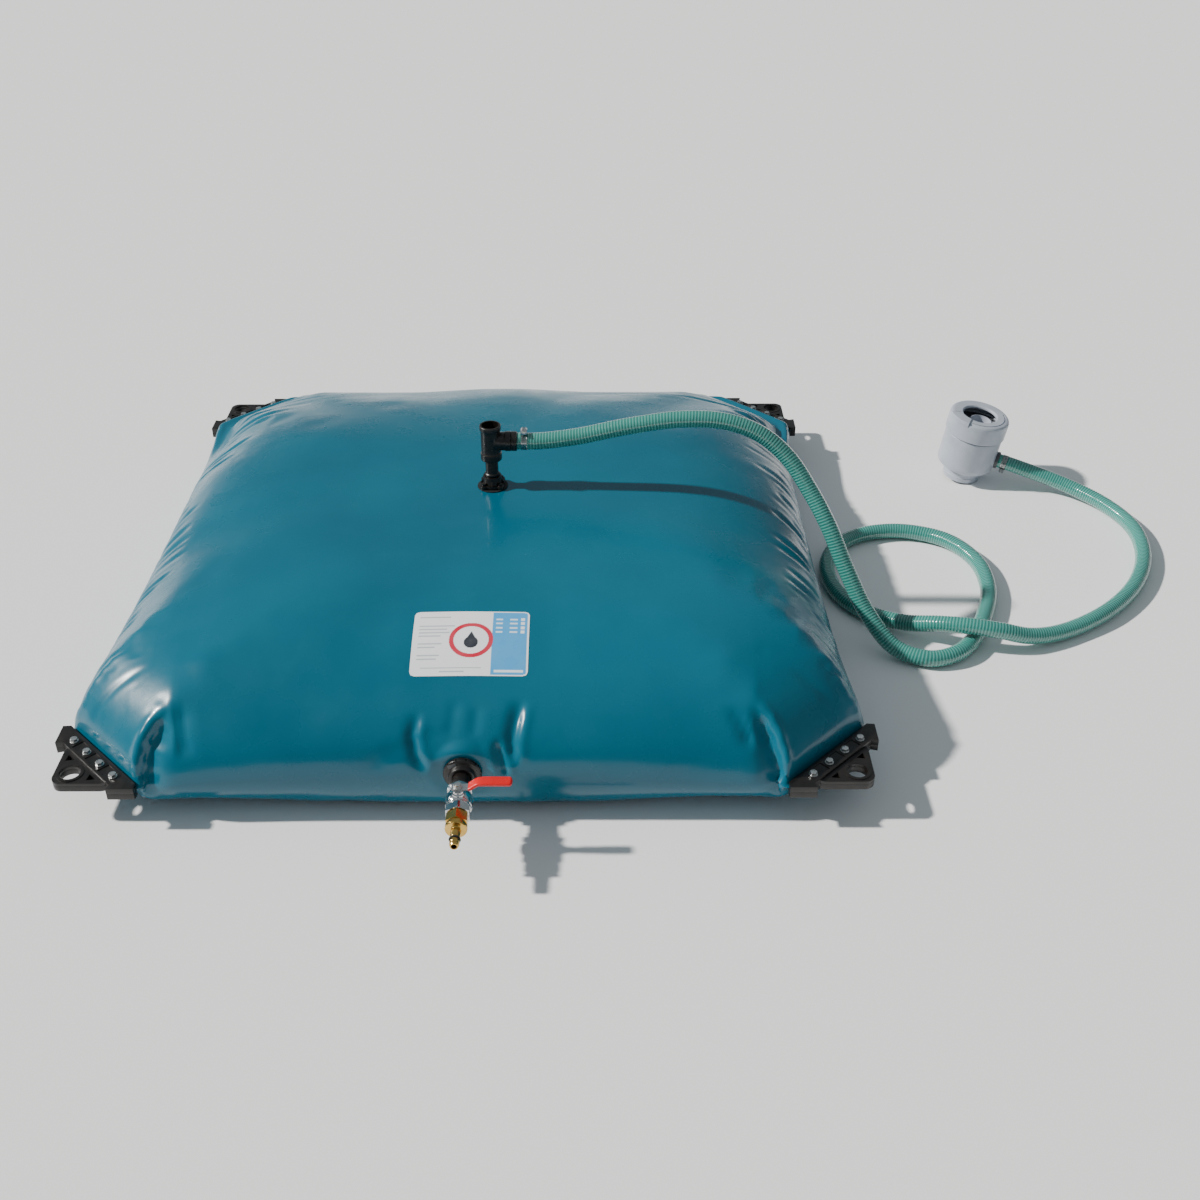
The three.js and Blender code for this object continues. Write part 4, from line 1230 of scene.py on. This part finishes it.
def plate_half(upper):
    """The upper half has a thicker bar with shallow wells between its bolts, and a rim round the eye."""
    if upper:
        body = joined(prism(lug_outline(), 0.15, LUG_HALF), prism(mirrored(BAR), 4, PLATE_HALF))
        wells = []
        for a, b in zip(BOLT_ROW, BOLT_ROW[1:]):
            well = [(a + 12, 7), (b - 12, 7), (b - 12, 29), (a + 12, 29)]
            wells.append(prism(well, PLATE_HALF - WELL_DEPTH, PLATE_HALF + 5))
        rim = prism(circle(EYE_R + 6, 0, EYE_OUT), LUG_HALF - 0.5, LUG_HALF + 1.4)
        body = joined(cut(body, merge(*wells)), rim)
    else:
        body = prism(lug_outline(), -PLATE_HALF, -0.15)
    return bevel(flattened(cut(body, plate_cutters())), 0.9)


def corner_bolt():
    """A hexagon bolt with its washer, threaded end, second washer and nut."""
    washer = tube(4.3, 7.9, 12.2, 13.5, 0.3)
    head = hexagon(12, 13.6, 18.6)
    threads = [(4.0 if k % 2 else 3.5, -21 + 0.6 * k) for k in range(15)]
    shank = lathe([(0, -21.6), (3.0, -21.6), *threads, (4, 13.7), (0, 13.7)], 24)
    low_washer = tube(4.3, 7.9, -13.6, -12.3, 0.3)
    nut = hexagon(13, -19.2, -13.7, 3.6)
    return merge(washer, head, shank, low_washer, nut)


def make_corners():
    meshes = {"upper": to_mesh(plate_half(True), "upper"), "lower": to_mesh(plate_half(False), "lower")}
    bolt = to_mesh(corner_bolt(), "bolt")
    for name, (sx, sy) in CORNERS.items():
        frame_matrix = corner_frame(sx, sy)
        for half, mesh in meshes.items():
            placed = mesh.copy()
            placed.transform(frame_matrix)
            piece = add_piece(placed, f"moulded_plate_{half}_{name}", "black")
            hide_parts(f"corner_plate_{half}_{name}")
        for i, v in enumerate(BOLT_ROW):
            placed = bolt.copy()
            spin = Matrix.Rotation(math.radians(17 + 41 * i + 23 * sx + 31 * sy), 4, "Z")
            placed.transform(frame_matrix @ Matrix.Translation((v * MM, BOLT_OUT * MM, 0)) @ spin)
            piece = add_piece(placed, f"hex_bolt_{name}_{i + 1}", "zinc")
            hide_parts(f"corner_bolt_{name}_{i + 1}")


make_corners()

# ---- hose clamps --------------------------------------------------------------------------------


SCREW_OUT = 23.5  # from the band's axis to the screw's


def slotted_band(r, half_width, thickness):
    """A rolled steel band with its row of worm slots."""
    around, gap = 108, 3
    bm = bmesh.new()
    rows = (-half_width, -half_width + 0.7, -2.6, 2.6, half_width - 0.7, half_width)
    grid = []
    for i in range(around):
        a = 2 * math.pi * i / around
        ring = []
        for k, z in enumerate(rows):
            lip = 0.5 if k in (0, len(rows) - 1) else 0
            out = (r + lip) * MM
            ring.append(bm.verts.new((out * math.cos(a), out * math.sin(a), z * MM)))
        grid.append(ring)
    for i in range(around):
        for k in range(len(rows) - 1):
            if k == 2 and i % gap == 0:
                continue
            j = (i + 1) % around
            bm.faces.new((grid[i][k], grid[j][k], grid[j][k + 1], grid[i][k + 1]))
    bmesh.ops.solidify(bm, geom=bm.faces, thickness=-thickness * MM)
    return bm


def clamp_screw():
    """The worm screw across the band: thread, collar, and a slotted hexagon head."""
    thread = []
    for k in range(13):
        thread += [(2.4, -7 + k * 1.1), (3.3, -6.6 + k * 1.1), (3.3, -6.3 + k * 1.1)]
    worm = lathe([(0, -7.4), (2.2, -7.4), *thread, (2.2, 8.4), (0, 8.4)], 24)
    neck = lathe([(0, -9.6), (4.4, -9.6), (4.4, -9.1), (2.0, -9.0), (2.0, -7), (0, -7)], 24)
    head = hexagon(7, -13, -9.4)
    slot = prism([(-0.6, -5), (0.6, -5), (0.6, 5), (-0.6, 5)], -14, -11.6)
    return merge(worm, neck, cut(head, slot))


def worm_housing():
    """The pressed housing that holds the screw on the band, open at both ends."""
    arch = [(-18.7, -6.4), (-24.6, -6.4), (-27.3, -3.6), (-27.3, 3.6), (-24.6, 6.4), (-18.7, 6.4)]
    block = rotated(prism(arch, -9, 9), 90, "X")
    tunnel = moved(rotated(tube(0, 3.9, -20, 20, segments=32), 90, "X"), -SCREW_OUT)
    return bevel(cut(block, tunnel), 0.5)


def make_clamp(name, matrix):
    band = merge(slotted_band(18.3, 6, 0.7), worm_housing())
    piece = shaped(f"{name}_slotted_band", band, "steel", matrix, stands_for=[f"{name}_clamp_band"])
    across = matrix @ Matrix.Translation((-SCREW_OUT * MM, 0, 0)) @ Matrix.Rotation(-math.pi / 2, 4, "X")
    screw = shaped(f"{name}_worm_screw", clamp_screw(), "zinc", across,
                   stands_for=[f"{name}_clamp_screw"])
    return piece, screw


# ---- inlet --------------------------------------------------------------------------------------


def make_inlet():
    seat = INLET_SEAT / MM
    base = prism(circle(25), seat + 2.3, seat + 9)
    ears = [(45 + 90 * k) for k in range(4)]
    for a in ears:
        c, s = math.cos(math.radians(a)), math.sin(math.radians(a))
        ear = prism(circle(8, 24 * c, 24 * s, 32), seat + 2.3, seat + 9)
        base = joined(base, ear)
    collar = [(0, seat + 8), (20.5, seat + 8), (19, seat + 11), (19, seat + 25.5), (0, seat + 25.5)]
    base = joined(base, lathe(collar))
    for a in range(0, 360, 90):
        slope = [(24.4, seat + 8), (24.4, seat + 10), (18.6, seat + 20)]
        gusset = prism([(17, seat + 8), *slope, (17, seat + 20)], -1.3, 1.3)
        turn = Matrix.Rotation(math.radians(a), 4, "Z") @ Matrix.Rotation(math.pi / 2, 4, "X")
        base = joined(base, gusset, turn)
    bore = tube(0, 15.2, seat - 5, seat + 40)
    base = cut(base, bore)
    base = bevel(flattened(base), 0.7)
    shaped("lobed_flange", base, "black", INLET_FRAME, stands_for=["inlet_flange"])
    for k, a in enumerate(ears):
        c, s = math.cos(math.radians(a)), math.sin(math.radians(a))
        cap = merge(tube(0, 5.6, seat + 9.1, seat + 10.1, 0.3),
                    hexagon(8, seat + 10.2, seat + 14.2))
        shaped(f"flange_screw_{k + 1}", cap, "black",
               INLET_FRAME @ Matrix.Translation((24 * c * MM, 24 * s * MM, 0)))

    turned("riser_pipe", [
        (11, seat - 9), (14.9, seat - 9), (14.9, seat + 27), (15.6, seat + 28), (15.6, seat + 31),
        (13.2, seat + 33), (13.2, 362), (11, 362),
    ], "black", INLET_FRAME, stands_for=["inlet_riser"])

    body = [(0, 345), (20.6, 345), (22, 347), (22, 360), (20.2, 363), (20.2, 411), (22, 414), (22, 422),
            (21, 423), (0, 423)]
    body = lathe(rounded(body, 0.5), 96)
    branch = [(0, 0), (19.2, 0), (19.2, 28), (20.6, 31), (20.6, 41), (19.8, 42), (0, 42)]
    branch = lathe(rounded(branch, 0.5), 96)
    level = Matrix.Translation((0, 0, BRANCH_Z)) @ ALONG_X
    tee = joined(body, branch, level)
    inside = [tube(0, 13.5, 340, 362.3),
              tube(0, 11.5, 362, 372),
              lathe([(0, 371), (15, 371), (15, 399), (17.2, 399.5), (17.6, 424), (0, 424)])]
    for cutter in inside:
        tee = cut(tee, cutter)
    tee = cut(tee, tube(0, 14.5, 0, 43), level)
    shaped("moulded_tee", tee, "black", INLET_FRAME, stands_for=["inlet_tee"])

    turned("inlet_reducer", [
        (10.5, 22), (14.2, 22), (14.2, 42.3), (19.4, 42.3), (20.4, 43.4), (20.4, 53.2), (19.4, 54.2),
        (14.2, 54.3), (14.6, 66), (13.8, 68), (14.6, 80), (13.6, 86), (10.5, 86),
    ], "black", BRANCH_FRAME, stands_for=["inlet_hose_tail"])
    return make_clamp("inlet", BRANCH_FRAME @ Matrix.Translation((0, 0, 0.069)))


inlet_clamp = make_inlet()

# ---- outlet and ball valve ----------------------------------------------------------------------

VALVE_START = 48
BALL_CENTRE = (OUTLET_SEAT_Y - VALVE_Y) / MM


def make_outlet():
    flange = lathe(rounded([
        (17, 2.3), (34, 2.3), (34, 7.4), (31.5, 9.6), (25.5, 10.6), (24.5, 11.4), (23, 19.5), (21.5, 20),
        (17, 20),
    ], 0.8), 96)
    notches = [prism(circle(2.6, 35.4 * math.cos(a), 35.4 * math.sin(a), 20), 0, 12)
               for a in (math.pi / 6 * k + 0.26 for k in range(12))]
    flange = cut(flange, merge(*notches))
    shaped("outlet_wall_flange", flange, "black", OUTLET_FRAME, stands_for=["outlet_flange"])
    pad = bevel(prism([(-8, -3.4), (8, -3.4), (8, 3.4), (-8, 3.4)], 0, 1.0), 0.5)
    turn, tilt = Matrix.Rotation(math.radians(18), 4, "Z"), Matrix.Rotation(-0.16, 4, "X")
    at = OUTLET_FRAME @ turn @ Matrix.Translation((-0.009, 0.0262, 0.0103)) @ tilt
    shaped("flange_pad", pad, "dark", at)
    turned("outlet_neck", [
        (12.5, -9), (16.6, -9), (16.6, 38), (18.2, 39.4), (18.2, 45.4), (16.6, 46.8), (16.6, 60),
        (12.5, 60),
    ], "black", OUTLET_FRAME, stands_for=["outlet_nipple"])


def bored(bm, *bores):
    """Cuts round bores, each a radius and the two heights between which it runs."""
    for r, low, high in bores:
        bm = cut(bm, tube(0, r, low, high))
    return bm


def upright(along):
    """Stands a piece that was built with +Z up on the flow's line, inside the outlet's frame."""
    return OUTLET_FRAME @ Matrix.Translation((0, 0, along * MM)) @ Matrix.Rotation(-math.pi / 2, 4, "X")


def make_valve():
    z0, c = VALVE_START, BALL_CENTRE
    flat_up = Matrix.Rotation(math.pi / 6, 4, "Z")
    body = merge((hexagon(42, z0, z0 + 14), flat_up))
    shell = lathe(rounded([
        (0, z0 + 10), (19.4, z0 + 10), (19.4, z0 + 15.5), (21.5, z0 + 17), (23.4, c - 12), (24, c - 4),
        (24, c + 4), (23.2, c + 10), (21.4, c + 13), (21.4, c + 16), (0, c + 16),
    ], 1.4), 96)
    body = joined(body, shell)
    stand = Matrix.Translation((0, 0, c * MM)) @ Matrix.Rotation(-math.pi / 2, 4, "X")
    boss = lathe(rounded([(0, 10), (11.5, 10), (11.5, 24.6), (9.4, 27), (9.4, 30), (0, 30)], 0.8))
    body = joined(body, boss, stand)
    body = joined(body, hexagon(17, 28, 34), stand)
    body = bored(body, (17, z0 - 1, z0 + 13.2), (12.5, z0 + 12, c), (18.2, c - 15.2, c + 20))
    body = cut(body, tube(0, 5.4, 10, 40, segments=32), stand)
    shaped("valve_shell", body, "chrome", OUTLET_FRAME, stands_for=["valve_body"])

    end = merge((hexagon(40, c + 16.3, c + 33), flat_up))
    neck = tube(0, 17.9, c + 15.3, c + 20)
    end = joined(end, neck)
    end = bored(end, (12.5, c + 10, c + 24), (17, c + 22, c + 40))
    shaped("valve_end_nut", end, "chrome", OUTLET_FRAME, stands_for=["valve_end"])


def lever_path():
    """The lever's side view from the stem outwards: flat, up the bend, and along the grip, in (x, z)."""
    knots = [(-11, 0), (14, 0), (20, 1.4), (33, 10.6), (39, 12.0), (88, 12.0)]
    points = [(float(x), 0.0, z + 35.9) for x, z in knots]
    return evenly(smooth_curve(points, 30), 1.5)[0]


def flat_bar(line, half_widths, half_heights, power):
    """A bmesh bar along a line in the XZ plane, with a rounded-box section that may change along it."""
    sides = 28
    bm = bmesh.new()
    tangents = np.gradient(line, axis=0)
    tangents /= np.linalg.norm(tangents, axis=1)[:, None]
    normals = np.column_stack([-tangents[:, 2], tangents[:, 1] * 0, tangents[:, 0]])
    rings = []
    for point, normal, hw, hh in zip(line, normals, half_widths, half_heights):
        ring = []
        for k in range(sides):
            a = 2 * math.pi * k / sides
            cw, ch = math.cos(a), math.sin(a)
            across = math.copysign(abs(cw) ** power, cw) * hw
            up = math.copysign(abs(ch) ** power, ch) * hh
            at = point + np.array((0, across, 0)) + normal * up
            ring.append(bm.verts.new(Vector(at * MM)))
        rings.append(ring)
    for low, high in zip(rings, rings[1:]):
        for k in range(sides):
            bm.faces.new((low[k], low[(k + 1) % sides], high[(k + 1) % sides], high[k]))
    bm.faces.new(rings[0][::-1])
    bm.faces.new(rings[-1])
    return bm


def make_lever():
    line = lever_path()
    n = len(line)
    strip = flat_bar(line, np.full(n, 8.0), np.full(n, 1.5), 0.18)
    strip = cut(strip, tube(0, 5.3, 30, 42, segments=32))
    shaped("lever_strip", strip, "steel", upright(BALL_CENTRE), "valve_handle", ["valve_lever"])

    far = np.array([line[-1] + np.array((1.2 * k, 0, 0)) for k in range(1, 5)])
    grip = np.vstack([line[line[:, 0] > 16.5], far])
    along = distances(grip)
    total = along[-1]
    near_end = np.sqrt(np.clip(1 - (1 - np.clip(along / 1.6, 0.02, 1)) ** 2, 0, 1))
    far_end = np.sqrt(np.clip(1 - (1 - np.clip((total - along) / 5.5, 0.004, 1)) ** 2, 0, 1))
    shape = near_end * far_end
    widths = 9.6 + 0.9 * smoothstep((along - 18) / 14)
    widths = widths * (0.85 + 0.15 * near_end) * (0.2 + 0.8 * far_end)
    sleeve = flat_bar(grip, widths, 3.5 * np.maximum(shape, 0.25), 0.45)
    shaped("dipped_sleeve", sleeve, "red", upright(BALL_CENTRE), "valve_handle", ["lever_sleeve"])

    nut = merge(hexagon(13, 38.0, 41.4, 5.3),
                tube(0, 4.9, 40, 42.4, 0.5, 32),
                tube(5.4, 8.4, 37.55, 38.1, 0.1, 48))
    shaped("lever_nut_and_washer", nut, "zinc", upright(BALL_CENTRE), "valve_handle", ["lever_nut"])


def make_nose():
    start = 114.3
    flat_up = Matrix.Rotation(math.pi / 6, 4, "Z")
    adapter = merge((hexagon(36, start, start + 21), flat_up))
    for r, low, high in ((16.6, start - 9, start + 1), (17.4, start + 20.5, start + 24)):
        ring = tube(0, r, low, high, 0.5)
        adapter = joined(adapter, ring)
    adapter = bored(adapter, (12, start - 10, start + 12), (11.3, start + 10, start + 25))
    shaped("brass_hex_adapter", adapter, "brass", OUTLET_FRAME, stands_for=["brass_adapter"])
    turned("brass_plug_nose", [
        (5, start + 12), (11, start + 12), (11, start + 24.3), (18.2, start + 24.3), (19, start + 25),
        (19, start + 30.6), (17.6, start + 32.2), (10.5, start + 33), (8.9, start + 34.6),
        (8.5, start + 52), (7, start + 53), (7, start + 57), (8.5, start + 58), (8.5, start + 63),
        (7.9, start + 64), (7.9, start + 66.4), (8.5, start + 67.4), (6.6, start + 72), (5, start + 72),
    ], "brass", OUTLET_FRAME, soften=0.35, stands_for=["brass_nose"])
    ring = [(8.7 + 1.5 * math.cos(math.radians(a)), start + 55 + 1.5 * math.sin(math.radians(a)))
            for a in range(0, 360, 30)]
    turned("nose_seal", ring, "rubber", OUTLET_FRAME, soften=0, stands_for=["nose_o_ring"])


make_outlet()
make_valve()
make_lever()
make_nose()

# ---- collector ----------------------------------------------------------------------------------

WALL_R = 70
STAND_OUT = 6  # from the collector's axis to the stand pipe's
WEB_TURN = 14  # degrees from the hose's side to the web beside the stand pipe


def make_collector():
    tail_hole = tube(0, 16.3, 40, 90)
    level = Matrix.Translation((0, 0, TAIL_Z)) @ ALONG_X
    shell = lathe(rounded([
        (42.5, 0), (45.5, 0), (45.5, 9), (46.6, 10), (46.6, 12), (45.5, 13), (45.5, 27), (50, 28.6),
        (60, 31), (67.4, 37), (WALL_R, 46), (WALL_R, 122.6), (WALL_R - 1, 124), (66, 124.6), (66, 150),
        (63, 150), (63, 121), (67, 119), (67, 47), (63, 39), (55, 34), (42.5, 32),
    ], 0.8), 128)
    body = cut(shell, tail_hole, level)
    boss = tube(16.3, 20.4, 66, WALL_R + 0.3, 0.3)
    body = joined(body, boss, level)
    shaped("collector_shell", body, "grey", COLLECTOR_FRAME, stands_for=["collector_body"])

    cap = lathe(rounded([
        (69.6, 126), (72.2, 126), (73.5, 127.5), (73.5, 166), (72.4, 170.5), (69, 173.8), (64, 175),
        (44, 175), (41, 172.4), (41, 168), (43, 168), (44, 171.4), (69.6, 171.4),
    ], 0.9), 128)
    groove = prism([*arc(62.8, -96, 33), *reversed(arc(59.4, -96, 33))], 172, 180)
    cap = cut(cap, groove)
    tongue = prism([*arc(74.6, 209, 260), *reversed(arc(48, 212, 254))], 167, 178.0)
    bevel(tongue, 1.2, segments=3)
    cap = joined(cap, tongue)
    slot = rotated(prism([(-69, -1.7), (-48, -1.7), (-48, 1.7), (-69, 1.7)], 170, 180), 25)
    cap = cut(cap, slot)
    shaped("twist_cap", cap, "grey", COLLECTOR_FRAME, "collector_cap", ["collector_cap"])

    pipe = rounded([(0, 28), (27, 28), (27, 158.4), (26, 160), (0, 160)], 0.5)
    stand = joined(moved(lathe(pipe, 96), STAND_OUT), tube(0, 42, 28, 31.5, segments=96))
    bore = lathe([(0, 20), (24.5, 20), (24.5, 158), (25.2, 165), (0, 165)], 96)
    stand = cut(stand, moved(bore, STAND_OUT))
    web = rotated(prism([(32, -6), (60, -9), (60, 9), (32, 6)], 154, 158), WEB_TURN)
    stand = joined(stand, web)
    shaped("stand_pipe", stand, "grey", COLLECTOR_FRAME, stands_for=["overflow_stand_pipe"])

    disc = tube(0, 62.4, 143, 146, segments=96)
    holes = [prism(circle(27.4, STAND_OUT), 140, 150)]
    for ring, r, count in ((38, 2.6, 18), (46, 3.0, 22), (54.5, 3.0, 26)):
        for k in range(count):
            a = 2 * math.pi * k / count
            x, y = ring * math.cos(a), ring * math.sin(a)
            if math.hypot(x - STAND_OUT, y) > 27.4 + r + 2:
                holes.append(prism(circle(r, x, y, 16), 140, 150))
    disc = cut(disc, merge(*holes))
    shaped("perforated_strainer", disc, "dark", COLLECTOR_FRAME,
           stands_for=["collector_strainer"])

    turned("collector_spout", [
        (11, 58), (16, 58), (16, WALL_R + 0.8), (20, WALL_R + 0.8), (21, WALL_R + 1.8), (21, 77), (20, 78),
        (14.2, 78.1), (14.6, 90), (13.8, 92), (14.6, 104), (13.6, 110), (11, 110),
    ], "dark", TAIL_FRAME, stands_for=["collector_hose_tail"])
    roll = Matrix.Rotation(math.radians(150), 4, "Z")
    return make_clamp("collector", TAIL_FRAME @ Matrix.Translation((0, 0, 0.093)) @ roll)


collector_clamp = make_collector()

# ---- pieces inside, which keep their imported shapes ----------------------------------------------

INSIDE = {
    "black": ["inlet_counter_flange", "outlet_counter_flange"],
    "rubber": ["inlet_gasket", "outlet_gasket"],
    "ptfe": ["valve_seat_rear", "valve_seat_front"],
    "chrome": ["valve_ball"],
    "brass": ["valve_stem"],
}


def finish_inside():
    for material, names in INSIDE.items():
        for name in names:
            mesh = frame["nodes"][name].data
            mesh.materials.clear()
            mesh.materials.append(MATERIAL[material])
            mesh.set_sharp_from_angle(angle=math.radians(35))


finish_inside()

# ---- the hose's exit and every fourth point along it, turned into tuples and not kept -----------

tuple(hose_exit)
[tuple(p) for p in hose_line[::4]]
